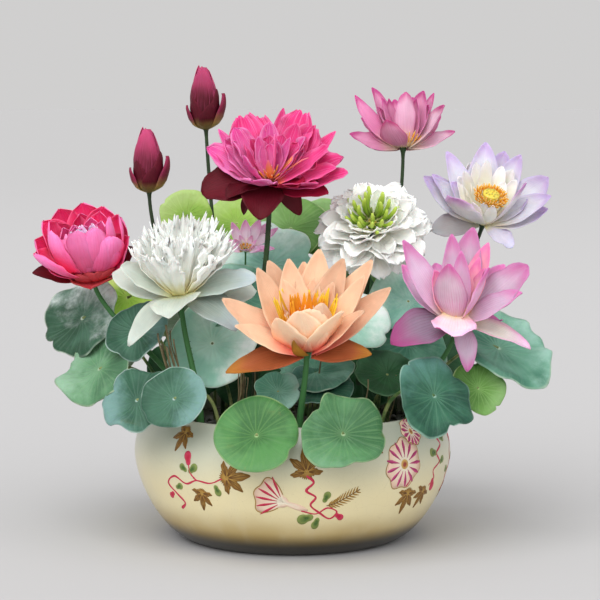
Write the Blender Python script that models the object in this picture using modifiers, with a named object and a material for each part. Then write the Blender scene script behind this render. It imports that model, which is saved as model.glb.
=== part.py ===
"""Bowl lotus: open blooms, buds and round leaves growing from the soil of a wide glazed bowl.

The origin is the centre of the bowl's flat base, +Z is up and -Y is the side the blooms face.
Places and lengths in the tables are in millimetres and degrees; everything built is in metres.
"""
import math

import bmesh
import bpy
from mathutils import Euler, Matrix, Vector

MM = 0.001
SEAT_GAP = 0.3 * MM            # clearance between touching pieces

# Bowl
BOWL_HEIGHT = 112 * MM
BOWL_FOOT_RADIUS = 93 * MM
BOWL_BELLY_RADIUS = 140 * MM
BOWL_BELLY_HEIGHT = 75 * MM
BOWL_RIM_RADIUS = 126 * MM
BOWL_FLANK_POWER = 1.55        # how round the flank is between foot and belly
BOWL_WALL = 6 * MM
BOWL_FLOOR = 8 * MM
BOWL_STEPS = 32
SOIL_TOP = 97 * MM

# Flower heads: petals fan out from a collar around the neck of the stalk's receptacle
NECK_RADIUS = 3.5 * MM
COLLAR_RADIUS = 8 * MM
POD_RADIUS = 6.2 * MM
POD_HEIGHT = 12.5 * MM
PETAL_THICKNESS = 1.0 * MM
OUTER_LEVEL = 0.5 * MM         # mid-height of each collar above the head's base
SECOND_LEVEL = 1.3 * MM
INNER_LEVEL = 2.9 * MM
CROWN_LEVEL = 3.9 * MM
PETAL_ROWS = 3
PETAL_COLUMNS = 2
SECTOR_SHARE = 0.95            # part of its sector that a petal may fill
CUP_RADIUS = 34                # how strongly a petal is dished across, in millimetres

# Stalks and leaves
FLOWER_STALK_RADIUS = 2.5 * MM
LEAF_STALK_RADIUS = 1.5 * MM
STALK_POINTS = 6
STALK_FOOT = 5 * MM            # upright length that a stalk has above the soil
LEAF_THICKNESS = 1.2 * MM
LEAF_SECTORS = 12
LEAF_RINGS = 2

COLOURS = {
    "glaze": ((0.80, 0.74, 0.52), 0.15),
    "soil": ((0.05, 0.04, 0.025), 0.95),
    "stalk": ((0.03, 0.13, 0.03), 0.5),
    "leaf": ((0.10, 0.30, 0.17), 0.55),
    "wine": ((0.20, 0.01, 0.05), 0.5),
    "magenta": ((0.75, 0.06, 0.30), 0.5),
    "rose": ((0.80, 0.07, 0.16), 0.5),
    "white": ((0.85, 0.86, 0.78), 0.5),
    "peach": ((0.90, 0.45, 0.24), 0.5),
    "blush": ((0.85, 0.45, 0.60), 0.5),
    "lavender": ((0.75, 0.70, 0.85), 0.5),
    "orchid": ((0.80, 0.25, 0.48), 0.5),
    "yellow": ((0.90, 0.55, 0.04), 0.6),
    "green": ((0.35, 0.60, 0.05), 0.5),
}


def whorl(count, turn, length, width, rise, tip_rise, odd=None, cup=CUP_RADIUS):
    """A ring of petals; odd maps a petal's number to the values in which it differs."""
    same = {"length": length, "width": width, "rise": rise, "tip_rise": tip_rise, "cup": cup}
    petals = [{**same, **(odd or {}).get(number, {})} for number in range(count)]
    return {"turn": turn, "petals": petals}


# Each head: base, lean towards the front and to the right, foot on the soil, colour, whorls from
# the outside in, and the height of the crown of stamens or carpels.
BLOOMS = {
    "magenta": {
        "base": (-20, -10, 309), "lean": (10, 0), "foot": (-34, -6), "colour": "magenta",
        "outer": [whorl(5, 184, 52, 34, 8, -30, {1: {"length": 40, "rise": -25, "tip_rise": -75},
                                                 2: {"length": 58, "rise": 0, "tip_rise": -20},
                                                 4: {"rise": 0, "tip_rise": -20}}),
                  whorl(7, 200, 60, 32, 14, 40)],
        "inner": whorl(7, 20, 72, 28, 50, 84),
    },
    "rose_globe": {
        "base": (-174, -20, 229), "lean": (14, -8), "foot": (-84, -44), "colour": "rose",
        "outer": [whorl(4, 190, 48, 24, -2, 25, {1: {"length": 28, "width": 30, "tip_rise": 35},
                                                 2: {"length": 44, "rise": 10, "tip_rise": 60}}),
                  whorl(5, 234, 86, 58, 6, 124, cup=48)],
        "inner": whorl(5, 270, 72, 44, 30, 118, cup=40),
    },
    "white_fringed": {
        "base": (-95, -60, 216), "lean": (12, 0), "foot": (-78, -66), "colour": "white",
        "outer": [whorl(4, 222, 60, 26, -6, -24, {0: {"rise": -20, "tip_rise": -55},
                                                  1: {"width": 34, "rise": -12, "tip_rise": -35}}),
                  whorl(4, 178, 58, 34, 14, 32, {1: {"length": 34, "rise": -8, "tip_rise": -60},
                                                 2: {"length": 64, "rise": 5, "tip_rise": 15}})],
        "inner": whorl(7, 200, 76, 24, 52, 74),
    },
    "peach": {
        "base": (12, -110, 174), "lean": (14, 0), "foot": (6, -96), "colour": "peach",
        "outer": [whorl(4, 188, 66, 24, -8, -16, {1: {"length": 22, "width": 12, "tip_rise": 20},
                                                  2: {"length": 50, "rise": 0, "tip_rise": -4},
                                                  3: {"length": 52}}),
                  whorl(7, 170, 74, 27, 22, 42)],
        "inner": whorl(7, 195, 76, 26, 58, 74), "crown": 36,
    },
    "white_pompom": {
        "base": (70, 5, 258), "lean": (38, 0), "foot": (58, 26), "colour": "white",
        "outer": [whorl(7, 0, 50, 34, -2, -26), whorl(7, 26, 46, 30, 18, 12)],
        "inner": whorl(7, 10, 34, 24, 45, 66), "crown": 24,
    },
    "blush": {
        "base": (138, -85, 197), "lean": (6, 0), "foot": (98, -56), "colour": "blush",
        "outer": [whorl(5, 198, 56, 28, 0, -28, {1: {"length": 44, "width": 17, "rise": -55,
                                                     "tip_rise": -86},
                                                 2: {"length": 62, "width": 20, "rise": -10}}),
                  whorl(6, 210, 80, 30, 42, 64, {1: {"length": 34, "rise": 5, "tip_rise": -105},
                                                 2: {"length": 62, "rise": 18, "tip_rise": 36},
                                                 3: {"length": 70, "width": 32, "rise": 32,
                                                     "tip_rise": 50}})],
        "inner": whorl(5, 250, 80, 27, 60, 82), "crown": 22,
    },
    "lavender": {
        "base": (170, 35, 272), "lean": (32, 12), "foot": (92, 50), "colour": "lavender",
        "outer": [whorl(4, 208, 48, 24, -5, -20, {1: {"width": 20, "rise": -14}}),
                  whorl(7, 195, 60, 25, 22, 42)],
        "inner": whorl(6, 180, 50, 20, 52, 70), "crown": 22,
    },
    "pink_cup": {
        "base": (101, 85, 337), "lean": (0, 0), "foot": (78, 74), "colour": "orchid",
        "outer": [whorl(5, 186, 52, 24, 8, 28, {1: {"length": 38, "width": 28, "rise": 16,
                                                    "tip_rise": 66}})],
        "inner": whorl(7, 215, 62, 26, 38, 80), "crown": 22,
    },
}

SMALL_BLOOM = {"base": (-42, 22, 250), "lean": (35, 0), "foot": (-52, 24), "colour": "blush",
               "petals": whorl(7, 15, 19, 10, 20, 36), "neck": 1.4, "collar": 3.4, "stalk": 1.0}

BUDS = {
    "tall_bud": {"base": (-78, 75, 356), "lean": (0, -3), "foot": (-64, 62)},
    "low_bud": {"base": (-128, 30, 299), "lean": (0, -2), "foot": (-84, 44)},
}
BUD_LENGTH = 56 * MM
BUD_RADIUS = 13 * MM
BUD_SEPALS = whorl(4, 200, 26, 15, 22, 78)

# Each leaf: centre of the blade, radius, tilt, heading of the tilt, foot on the soil
LEAVES = {
    "leaf_front_left": ((-29, -150, 112), 35, 52, 266, (-22, -98)),
    "leaf_front_right": ((42, -148, 113), 36, 50, 280, (32, -98)),
    "leaf_left_rim": ((-93, -120, 138), 28, 60, 258, (-62, -92)),
    "leaf_left_grey": ((-131, -95, 132), 31, 58, 244, (-88, -66)),
    "leaf_left_low": ((-173, -45, 147), 36, 50, 230, (-104, -36)),
    "leaf_left_high": ((-188, 2, 186), 36, 44, 215, (-108, -10)),
    "leaf_left_mid": ((-134, -48, 186), 28, 48, 252, (-98, -22)),
    "leaf_left_lime": ((-143, 20, 205), 26, 22, 235, (-98, 16)),
    "leaf_centre_left": ((-62, -25, 172), 40, 40, 262, (-52, -26)),
    "leaf_centre_small": ((-12, -83, 139), 19, 38, 262, (-20, -66)),
    "leaf_centre_dark": ((24, -58, 139), 30, 24, 275, (18, -50)),
    "leaf_centre_right": ((50, -30, 192), 33, 56, 298, (38, -14)),
    "leaf_right_teal": ((107, 14, 201), 31, 42, 290, (76, 12)),
    "leaf_right_dark": ((82, -50, 149), 29, 36, 285, (66, -38)),
    "leaf_right_low": ((118, -124, 141), 36, 52, 290, (76, -82)),
    "leaf_right_wide": ((174, -34, 169), 51, 34, 305, (110, -16)),
    "leaf_right_under": ((163, -78, 136), 27, 46, 305, (104, -40)),
    "leaf_back_lime": ((-98, 72, 276), 25, 68, 262, (-72, 78)),
    "leaf_back_green": ((-44, 96, 268), 28, 45, 265, (-36, 84)),
    "leaf_back_mid": ((26, 94, 266), 29, 60, 275, (20, 78)),
    "leaf_back_teal": ((-2, 42, 234), 38, 30, 268, (-4, 40)),
    "leaf_rear_left": ((-92, 128, 176), 42, 40, 125, (-62, 88)),
    "leaf_rear_right": ((92, 138, 184), 44, 38, 60, (56, 88)),
}


# Scene, materials and helpers

def clear_scene():
    """Remove whatever objects the open file holds."""
    for item in list(bpy.data.objects):
        bpy.data.objects.remove(item, do_unlink=True)


def new_collection(name):
    """A collection linked to the scene."""
    collection = bpy.data.collections.new(name)
    bpy.context.scene.collection.children.link(collection)
    return collection


def material(name):
    """The named plain material, made once."""
    found = bpy.data.materials.get(name)
    if found:
        return found
    colour, roughness = COLOURS[name]
    made = bpy.data.materials.new(name)
    made.use_nodes = True
    shader = made.node_tree.nodes["Principled BSDF"]
    shader.inputs["Base Color"].default_value = (*colour, 1)
    shader.inputs["Roughness"].default_value = roughness
    shader.inputs["Metallic"].default_value = 0.0
    return made


def place(mesh, name, colour, parent=None):
    """Put a mesh into the model as a named object with its material."""
    mesh.materials.clear()
    mesh.materials.append(material(colour))
    mesh.shade_smooth()
    item = bpy.data.objects.new(name, mesh)
    PARTS.objects.link(item)
    item.parent = parent
    return item


def as_cutter(item):
    """Hide a solid whose shape another object takes over."""
    PARTS.objects.unlink(item)
    CUTTERS.objects.link(item)
    item.hide_render = True
    item.display_type = "WIRE"
    return item


def grow_together(item, *others):
    """Join solids that grew as one piece."""
    for other in others:
        joined = item.modifiers.new("join_" + other.name, "BOOLEAN")
        joined.operation = "UNION"
        joined.solver = "EXACT"
        joined.object = as_cutter(other)


def solidify(item, thickness):
    """Give an open surface an even thickness about its middle."""
    shell = item.modifiers.new("thickness", "SOLIDIFY")
    shell.thickness = thickness
    shell.offset = 0


def turned(name, profile, steps, colour, parent=None, closed=False):
    """A profile of (radius, height) points turned about Z."""
    mesh = bpy.data.meshes.new(name)
    links = [(i, i + 1) for i in range(len(profile) - 1)]
    if closed:
        links.append((len(profile) - 1, 0))
    mesh.from_pydata([(radius, 0, height) for radius, height in profile], links, [])
    item = place(mesh, name, colour, parent)
    screw = item.modifiers.new("turn", "SCREW")
    screw.steps = steps
    screw.render_steps = steps
    screw.use_merge_vertices = True
    screw.merge_threshold = 0.0001
    return item


def mapped_grid(bm, columns, rows, point_at):
    """Add a grid of cells whose point (column, row) goes to point_at(column, row)."""
    grid = bmesh.ops.create_grid(bm, x_segments=columns, y_segments=rows, size=1)
    for vert in grid["verts"]:
        column = (vert.co.x + 1) / 2 * columns
        row = (vert.co.y + 1) / 2 * rows
        vert.co = point_at(round(column), round(row))


def finish_mesh(bm, name):
    """Weld a mapped surface and turn it into a mesh."""
    bmesh.ops.remove_doubles(bm, verts=bm.verts, dist=0.00005)
    bmesh.ops.recalc_face_normals(bm, faces=bm.faces)
    mesh = bpy.data.meshes.new(name)
    bm.to_mesh(mesh)
    bm.free()
    return mesh


# Bowl and soil

def bowl_outline():
    """Outer profile of the bowl from rim to foot, as (radius, height)."""
    points = []
    shoulder_steps = 3
    for i in range(shoulder_steps + 1):
        share = 1 - i / shoulder_steps
        height = BOWL_BELLY_HEIGHT + (BOWL_HEIGHT - BOWL_BELLY_HEIGHT) * share
        radius = BOWL_BELLY_RADIUS - (BOWL_BELLY_RADIUS - BOWL_RIM_RADIUS) * share ** 2.2
        points.append((radius, height))
    flank_steps = 6
    for i in range(1, flank_steps + 1):
        share = math.sin(math.pi / 2 * (1 - i / flank_steps))
        bulge = (1 - (1 - share) ** BOWL_FLANK_POWER) ** (1 / BOWL_FLANK_POWER)
        radius = BOWL_FOOT_RADIUS + (BOWL_BELLY_RADIUS - BOWL_FOOT_RADIUS) * bulge
        points.append((radius, BOWL_BELLY_HEIGHT * share))
    return points


def inside_outline():
    """The inner face of the bowl, one wall inside its outline, from the floor up to the rim."""
    outline = bowl_outline()
    points = []
    for i, (radius, height) in enumerate(outline[:-1]):
        before = outline[max(i - 1, 0)]
        after = outline[i + 1]
        along = Vector((after[0] - before[0], after[1] - before[1])).normalized()
        points.append((radius + along.y * BOWL_WALL, height - along.x * BOWL_WALL))
    points = [point for point in points if point[1] > BOWL_FLOOR + 3 * MM]
    points[0] = (points[0][0], BOWL_HEIGHT)
    return [(0, BOWL_FLOOR), (points[-1][0] - 9 * MM, BOWL_FLOOR)] + points[::-1]


def build_bowl():
    """The glazed bowl, flat underneath, with a rounded rim."""
    outer = bowl_outline()
    inner = inside_outline()
    lip_top = BOWL_HEIGHT + 1.2 * MM
    lip = [(inner[-1][0] + 1.6 * MM, lip_top), (outer[0][0] - 1.6 * MM, lip_top)]
    turned("bowl", inner + lip + outer + [(0, 0)], BOWL_STEPS, "glaze")


def build_soil():
    """The soil that fills the bowl to below its rim, its top flat."""
    inner = inside_outline()
    wall = [(max(radius - SEAT_GAP, 0), height + SEAT_GAP) for radius, height in inner]
    below = [point for point in wall if point[1] < SOIL_TOP - 2 * MM]
    lower, upper = below[-1], wall[len(below)]
    share = (SOIL_TOP - lower[1]) / (upper[1] - lower[1])
    edge = lower[0] + (upper[0] - lower[0]) * share
    turned("soil", [(0, SOIL_TOP), (edge, SOIL_TOP)] + below[::-1], BOWL_STEPS, "soil")


# Petals

def petal_rise(petal, share):
    """Angle of a petal's midline above the head's plane, part of the way to its tip."""
    return math.radians(petal["rise"] + (petal["tip_rise"] - petal["rise"]) * share)


def petal_midline(petal, share, start, level):
    """Distance from the head's axis and height of a petal's midline."""
    first, here = petal_rise(petal, 0), petal_rise(petal, share)
    bend = (here - first) / share if abs(here - first) > 0.001 else 0.001
    length = petal["length"] * MM
    run = length * (math.sin(first + bend * share) - math.sin(first)) / bend
    climb = -length * (math.cos(first + bend * share) - math.cos(first)) / bend
    return start + run, level + climb


def petal_outline(share):
    """Width of a petal along its length, as a part of its full width."""
    return 0.08 + 0.92 * math.sin(math.pi * share ** 0.85) ** 0.7 if share < 1 else 0.08


def add_whorl(bm, ring, level, bore, collar):
    """Add the open surface of one ring of petals with the collar that they share."""
    count = len(ring["petals"])
    sector = math.pi / count
    for number, petal in enumerate(ring["petals"]):
        heading = math.radians(ring["turn"]) + 2 * sector * number

        def point_at(column, row):
            side = column / PETAL_COLUMNS * 2 - 1
            if row < 2:
                radius = (bore, collar)[row]
                turn = heading + side * sector
                return Vector((radius * math.cos(turn), radius * math.sin(turn), level))
            share = (row - 1) / PETAL_ROWS
            away, height = petal_midline(petal, share, collar, level)
            half = min(petal["width"] * MM / 2 * petal_outline(share),
                       SECTOR_SHARE * away * sector)
            cup = petal["cup"] * MM
            across = side * half / cup
            rise = petal_rise(petal, share)
            dish = cup * (1 - math.cos(across))
            local = Vector((away - math.sin(rise) * dish, cup * math.sin(across),
                            height + math.cos(rise) * dish))
            return Matrix.Rotation(heading, 3, "Z") @ local

        mapped_grid(bm, PETAL_COLUMNS, PETAL_ROWS + 1, point_at)


def build_petals(name, ring, level, colour, head, bore=NECK_RADIUS + SEAT_GAP, collar=COLLAR_RADIUS):
    """One ring of petals as a thin closed solid."""
    bm = bmesh.new()
    add_whorl(bm, ring, level, bore, collar)
    item = place(finish_mesh(bm, name), name, colour, head)
    solidify(item, PETAL_THICKNESS)
    return item


# Stalks

def bend_route(start, rise, leave, end):
    """Points on a smooth bend from start to end, steered by the two points between."""
    points = [start - Vector((0, 0, STALK_FOOT))]
    for i in range(STALK_POINTS):
        t = i / (STALK_POINTS - 1)
        points.append(start * (1 - t) ** 3 + rise * 3 * t * (1 - t) ** 2
                      + leave * 3 * t * t * (1 - t) + end * t ** 3)
    return points


def build_tube(name, route, radius, colour, roundness=1):
    """A capped stalk along a route, made a mesh so that it can be joined."""
    curve = bpy.data.curves.new(name, "CURVE")
    curve.dimensions = "3D"
    curve.bevel_depth = radius
    curve.bevel_resolution = roundness
    curve.use_fill_caps = True
    curve.render_resolution_u = 0
    spline = curve.splines.new("POLY")
    spline.points.add(len(route) - 1)
    for point, spot in zip(spline.points, route):
        point.co = (*spot, 1)
    guide = bpy.data.objects.new(name + "_guide", curve)
    CUTTERS.objects.link(guide)
    bpy.context.view_layer.update()
    mesh = bpy.data.meshes.new_from_object(guide.evaluated_get(bpy.context.evaluated_depsgraph_get()))
    bm = bmesh.new()
    bm.from_mesh(mesh)
    bpy.data.meshes.remove(mesh)
    item = place(finish_mesh(bm, name), name, colour)
    item.matrix_world = guide.matrix_world
    bpy.data.objects.remove(guide, do_unlink=True)
    bpy.data.curves.remove(curve)
    return item


def soil_point(foot):
    """The place just above the soil where a stalk starts to bend."""
    return Vector((foot[0] * MM, foot[1] * MM, SOIL_TOP + SEAT_GAP + STALK_FOOT))


def head_turn(lean):
    """Rotation of a flower head that leans towards the front and to the right."""
    return Euler((math.radians(lean[0]), math.radians(lean[1]), 0))


def build_head(name, plan):
    """The empty that carries one flower head."""
    head = bpy.data.objects.new(name + "_head", None)
    head.empty_display_size = 0.02
    head.location = Vector(plan["base"]) * MM
    head.rotation_euler = head_turn(plan["lean"])
    PARTS.objects.link(head)
    return head


def build_flower_stalk(name, plan, head, profile, radius):
    """A stalk from the soil to the head, grown together with its receptacle."""
    axis = head_turn(plan["lean"]).to_matrix() @ Vector((0, 0, 1))
    foot = soil_point(plan["foot"])
    end = Vector(plan["base"]) * MM - axis * radius
    height = end.z - foot.z
    rise = foot + Vector((0, 0, height * 0.35))
    leave = end - axis * height * 0.3
    stalk = build_tube(name + "_stalk", bend_route(foot, rise, leave, end), radius, "stalk")
    grow_together(stalk, turned(name + "_receptacle", profile, 10, "stalk", head))
    return stalk


def receptacle_profile(neck, top_radius, height):
    """A flared rest below the collars, the neck they sit around, and the seed pod on top."""
    flare = neck + 1.7 * MM
    return [(0, height + 2 * MM), (top_radius, height), (neck, CROWN_LEVEL + 1.4 * MM),
            (neck, -SEAT_GAP), (flare, -SEAT_GAP), (neck * 0.6, -2.4 * MM), (0, -4 * MM)]


def build_crown(name, height, colour, head):
    """The crown of stamens or carpels around the seed pod, as one turned ring."""
    foot = CROWN_LEVEL
    bore = NECK_RADIUS + SEAT_GAP
    top = height * MM
    profile = [(bore, foot + 1 * MM), (7.4 * MM, foot + 6 * MM), (8.8 * MM, top),
               (10.4 * MM, top), (8.9 * MM, foot + 5.5 * MM), (5.4 * MM, foot), (bore, foot)]
    turned(name, profile, 14, colour, head, closed=True)


# Flowers

def build_bloom(name, plan):
    """A stalk, its outer and inner petals, and its crown if the flower shows one."""
    head = build_head(name, plan)
    build_flower_stalk(name, plan, head, receptacle_profile(NECK_RADIUS, POD_RADIUS, POD_HEIGHT),
                       FLOWER_STALK_RADIUS)
    outer = build_petals(name + "_outer_petals", plan["outer"][0], OUTER_LEVEL, plan["colour"], head)
    for ring in plan["outer"][1:]:
        grow_together(outer, build_petals(name + "_second_ring", ring, SECOND_LEVEL,
                                          plan["colour"], head))
    build_petals(name + "_inner_petals", plan["inner"], INNER_LEVEL, plan["colour"], head)
    if "crown" in plan:
        kind = "carpels" if name == "white_pompom" else "stamens"
        build_crown(name + "_" + kind, plan["crown"], "green" if kind == "carpels" else "yellow", head)


def build_small_bloom():
    """The small flower: one ring of petals around a short pod."""
    plan = SMALL_BLOOM
    neck, collar = plan["neck"] * MM, plan["collar"] * MM
    head = build_head("small_pink", plan)
    profile = [(0, 4 * MM), (2.6 * MM, 3.4 * MM), (neck, 1.4 * MM), (neck, -SEAT_GAP),
               (neck + 1 * MM, -SEAT_GAP), (neck * 0.6, -1.4 * MM), (0, -2 * MM)]
    build_flower_stalk("small_pink", plan, head, profile, plan["stalk"] * MM)
    build_petals("small_pink_petals", plan["petals"], OUTER_LEVEL, plan["colour"], head,
                 neck + SEAT_GAP, collar)


def build_bud(name, plan):
    """A closed bud on a stalk that carries its few small sepals."""
    head = build_head(name, plan)
    profile = [(0, 0), (6 * MM, 0), (4.2 * MM, -2.4 * MM), (2 * MM, -4 * MM), (0, -5 * MM)]
    stalk = build_flower_stalk(name, plan, head, profile, 2.2 * MM)
    grow_together(stalk, build_petals(name + "_sepals", BUD_SEPALS, -OUTER_LEVEL, "wine", head,
                                      2 * MM, 7 * MM))
    steps = 8
    body = [(0, SEAT_GAP + BUD_LENGTH)]
    for i in range(1, steps):
        share = 1 - i / steps
        swell = math.sin(math.pi * (0.16 + 0.84 * share ** 0.8)) ** 0.8
        body.append((BUD_RADIUS * swell + 1.2 * MM * share, SEAT_GAP + BUD_LENGTH * share))
    turned(name, body + [(5 * MM, SEAT_GAP), (0, SEAT_GAP)], 12, "magenta", head)


# Leaves

def leaf_point(radius, turn, share, phase):
    """A point of a blade: shallow funnel, waved and slightly lobed edge."""
    reach = radius * share * (1 + 0.05 * share * math.sin(3 * turn + phase))
    wave = 0.055 * radius * share ** 2 * math.sin(5 * turn + 2 * phase)
    funnel = 0.13 * radius * share ** 1.5
    return Vector((reach * math.cos(turn), reach * math.sin(turn), funnel + wave))


def build_leaf(name, number, centre, radius, tilt, heading, foot):
    """A round blade grown together with the stalk that meets it at its centre."""
    lean, way = math.radians(tilt), math.radians(heading)
    normal = Vector((math.sin(lean) * math.cos(way), math.sin(lean) * math.sin(way), math.cos(lean)))
    bm = bmesh.new()

    def point_at(column, row):
        turn = 2 * math.pi * column / LEAF_SECTORS
        return leaf_point(radius * MM, turn, row / LEAF_RINGS, number)

    mapped_grid(bm, LEAF_SECTORS, LEAF_RINGS, point_at)
    blade = place(finish_mesh(bm, name), name, "leaf")
    blade.location = Vector(centre) * MM
    blade.rotation_mode = "QUATERNION"
    blade.rotation_quaternion = Vector((0, 0, 1)).rotation_difference(normal)
    solidify(blade, LEAF_THICKNESS)

    start = soil_point(foot)
    end = blade.location
    inward = Vector((start.x - end.x, start.y - end.y, 0)).normalized()
    reach = math.hypot(end.x, end.y)
    over_rim = reach > BOWL_RIM_RADIUS - 10 * MM
    rise = start + Vector((0, 0, max(0.4 * (end.z - start.z), 36 * MM if over_rim else 0)))
    leave = end + (inward * 26 + Vector((0, 0, 12))) * MM if over_rim else end - normal * 16 * MM
    grow_together(blade, build_tube(name + "_stalk", bend_route(start, rise, leave, end),
                                    LEAF_STALK_RADIUS, "stalk", roundness=0))


# Assembly

clear_scene()
PARTS = new_collection("lotus_bowl")
CUTTERS = new_collection("joined_pieces")
build_bowl()
build_soil()
for bloom_name, bloom_plan in BLOOMS.items():
    build_bloom(bloom_name, bloom_plan)
build_small_bloom()
for bud_name, bud_plan in BUDS.items():
    build_bud(bud_name, bud_plan)
for leaf_number, (leaf_name, leaf_plan) in enumerate(LEAVES.items()):
    build_leaf(leaf_name, leaf_number, *leaf_plan)
bpy.context.view_layer.update()
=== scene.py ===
"""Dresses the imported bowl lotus: petals, crowns, buds, leaves, stalks, soil, glaze and sprays.

Tables are in millimetres and degrees, as in the part's own source; meshes are in metres. The head
of a bloom is the place where its petals meet, and a petal's place is its tip, measured from there.
"""
from math import asin, atan2, cos, hypot, pi, radians, sin

import bmesh
import bpy
import numpy as np
from bpy.props import FloatProperty, FloatVectorProperty, IntProperty, PointerProperty
from mathutils import Euler, Matrix, Vector


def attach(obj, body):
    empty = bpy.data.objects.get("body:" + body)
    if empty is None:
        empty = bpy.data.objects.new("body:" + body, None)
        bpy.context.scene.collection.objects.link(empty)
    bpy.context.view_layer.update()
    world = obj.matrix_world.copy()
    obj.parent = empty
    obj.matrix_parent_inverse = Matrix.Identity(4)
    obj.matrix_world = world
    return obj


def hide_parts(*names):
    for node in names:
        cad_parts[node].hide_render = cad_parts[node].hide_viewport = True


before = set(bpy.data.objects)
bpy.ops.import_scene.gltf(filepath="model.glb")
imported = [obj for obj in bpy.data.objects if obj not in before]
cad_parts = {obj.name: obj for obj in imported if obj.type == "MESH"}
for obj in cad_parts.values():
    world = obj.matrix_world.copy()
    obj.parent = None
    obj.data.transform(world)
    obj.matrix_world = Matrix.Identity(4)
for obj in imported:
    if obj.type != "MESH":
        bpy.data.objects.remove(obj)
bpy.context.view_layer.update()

bl_info = {
    "name": "Bowl Lotus",
    "version": (1, 0, 0),
    "blender": (4, 5, 0),
    "location": "3D Viewport > Sidebar > Bowl Lotus",
    "description": "Builds the petals, leaves, glaze and painted sprays of a potted lotus",
    "category": "Object",
}

MM = 0.001
FULL_TURN = 2 * pi
GOLDEN_TURN = 2.39996            # radians between neighbours in a seed head
PETAL_VEINS = 15                 # veins side by side on a petal
LEAF_VEINS = 19                  # main veins of a leaf

# Heads: base, lean in x and y, foot of the stalk and the stalk's radius. They stand, like the
# bowl, in or close to the places that the part's source gives them.
HEADS = {
    "magenta": ((-20, -10, 309), (10, 0), (-34, -6), 2.6),
    "rose_globe": ((-174, -20, 229), (14, -8), (-84, -44), 2.3),
    "white_fringed": ((-95, -60, 216), (12, 0), (-78, -66), 2.6),
    "peach": ((12, -110, 174), (14, 0), (6, -96), 2.7),
    "white_pompom": ((70, 2, 271), (38, 0), (58, 26), 2.3),
    "blush": ((138, -85, 197), (6, 0), (98, -56), 2.3),
    "lavender": ((170, 35, 272), (32, 12), (92, 50), 2.2),
    "pink_cup": ((101, 85, 337), (0, 0), (78, 74), 1.9),
    "small_pink": ((-42, 22, 250), (35, 0), (-52, 24), 0.9),
    "tall_bud": ((-79, 75, 357), (0, -3), (-64, 62), 1.9),
    "low_bud": ((-128, 30, 302), (0, -2), (-84, 44), 1.9),
}
SOIL_TOP = 97 * MM
STALK_FOOT = 5 * MM
SEAT_GAP = 0.3 * MM
# Stalks of those heads, which rise among the leaves, take a darker copy of the stalk colour:
# painted shade
DARK_STALK = 270 * MM            # heads above this height stand on dark stalks
# The bowl's radii and heights; flank and shoulder say how round it is below and above its belly
BOWL = {"height": 112, "foot": 93, "belly": 140, "belly_height": 75, "rim": 126, "wall": 6,
        "floor": 8, "flank": 1.55, "shoulder": 2.2, "foot_edge": 1.2, "foot_ring": 7,
        "foot_hollow": 1.6}

# Petal forms. neck: width at the root as a share of the full width; peak: where the petal is
# widest; full and point: how full and how pointed its upper half is; end: width left at its tip;
# cup: how far it is dished across, in radians; ruffle and notch: waves and an uneven edge; teeth
# and tooth: a cut fringe; fold: pleats.
PLAIN = {"neck": 0.36, "peak": 0.56, "full": 2.4, "point": 0.74, "cup": 0.55, "ruffle": 0.015,
         "notch": 0.0, "teeth": 0, "tooth": 0.0, "fold": 0.0, "end": 0.06}
STYLES = {
    "lotus": {},
    "lily": {"neck": 0.5, "peak": 0.5, "full": 2.2, "point": 0.76, "cup": 0.5},
    "blunt": {"neck": 0.4, "peak": 0.66, "full": 2.8, "point": 0.52, "cup": 0.45, "ruffle": 0.03},
    "round": {"neck": 0.42, "peak": 0.64, "full": 3.2, "point": 0.42, "cup": 0.5, "ruffle": 0.04,
              "notch": 0.04},
    "ruffled": {"neck": 0.42, "peak": 0.72, "full": 3.6, "point": 0.45, "cup": 0.6, "ruffle": 0.08,
                "notch": 0.07, "fold": 0.03, "end": 0.42},
    "frilly": {"neck": 0.42, "peak": 0.66, "full": 3.0, "point": 0.5, "cup": 0.6, "ruffle": 0.05,
               "notch": 0.08, "fold": 0.02, "end": 0.2},
    "fringed": {"neck": 0.45, "peak": 0.7, "full": 4.0, "point": 0.5, "cup": 0.6,
                "ruffle": 0.1, "notch": 0.12, "teeth": 6, "tooth": 0.15, "fold": 0.12,
                "end": 0.55},
    "globe": {"neck": 0.3, "peak": 0.6, "full": 3.0, "point": 0.46, "cup": 0.9, "ruffle": 0.015,
              "notch": 0.03},
    "sepal": {"neck": 0.6, "peak": 0.45, "full": 1.9, "point": 0.75, "cup": 0.7, "ruffle": 0.01},
    "needle": {"neck": 0.7, "peak": 0.35, "full": 1.6, "point": 1.0, "cup": 0.5, "ruffle": 0.0},
}

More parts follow.
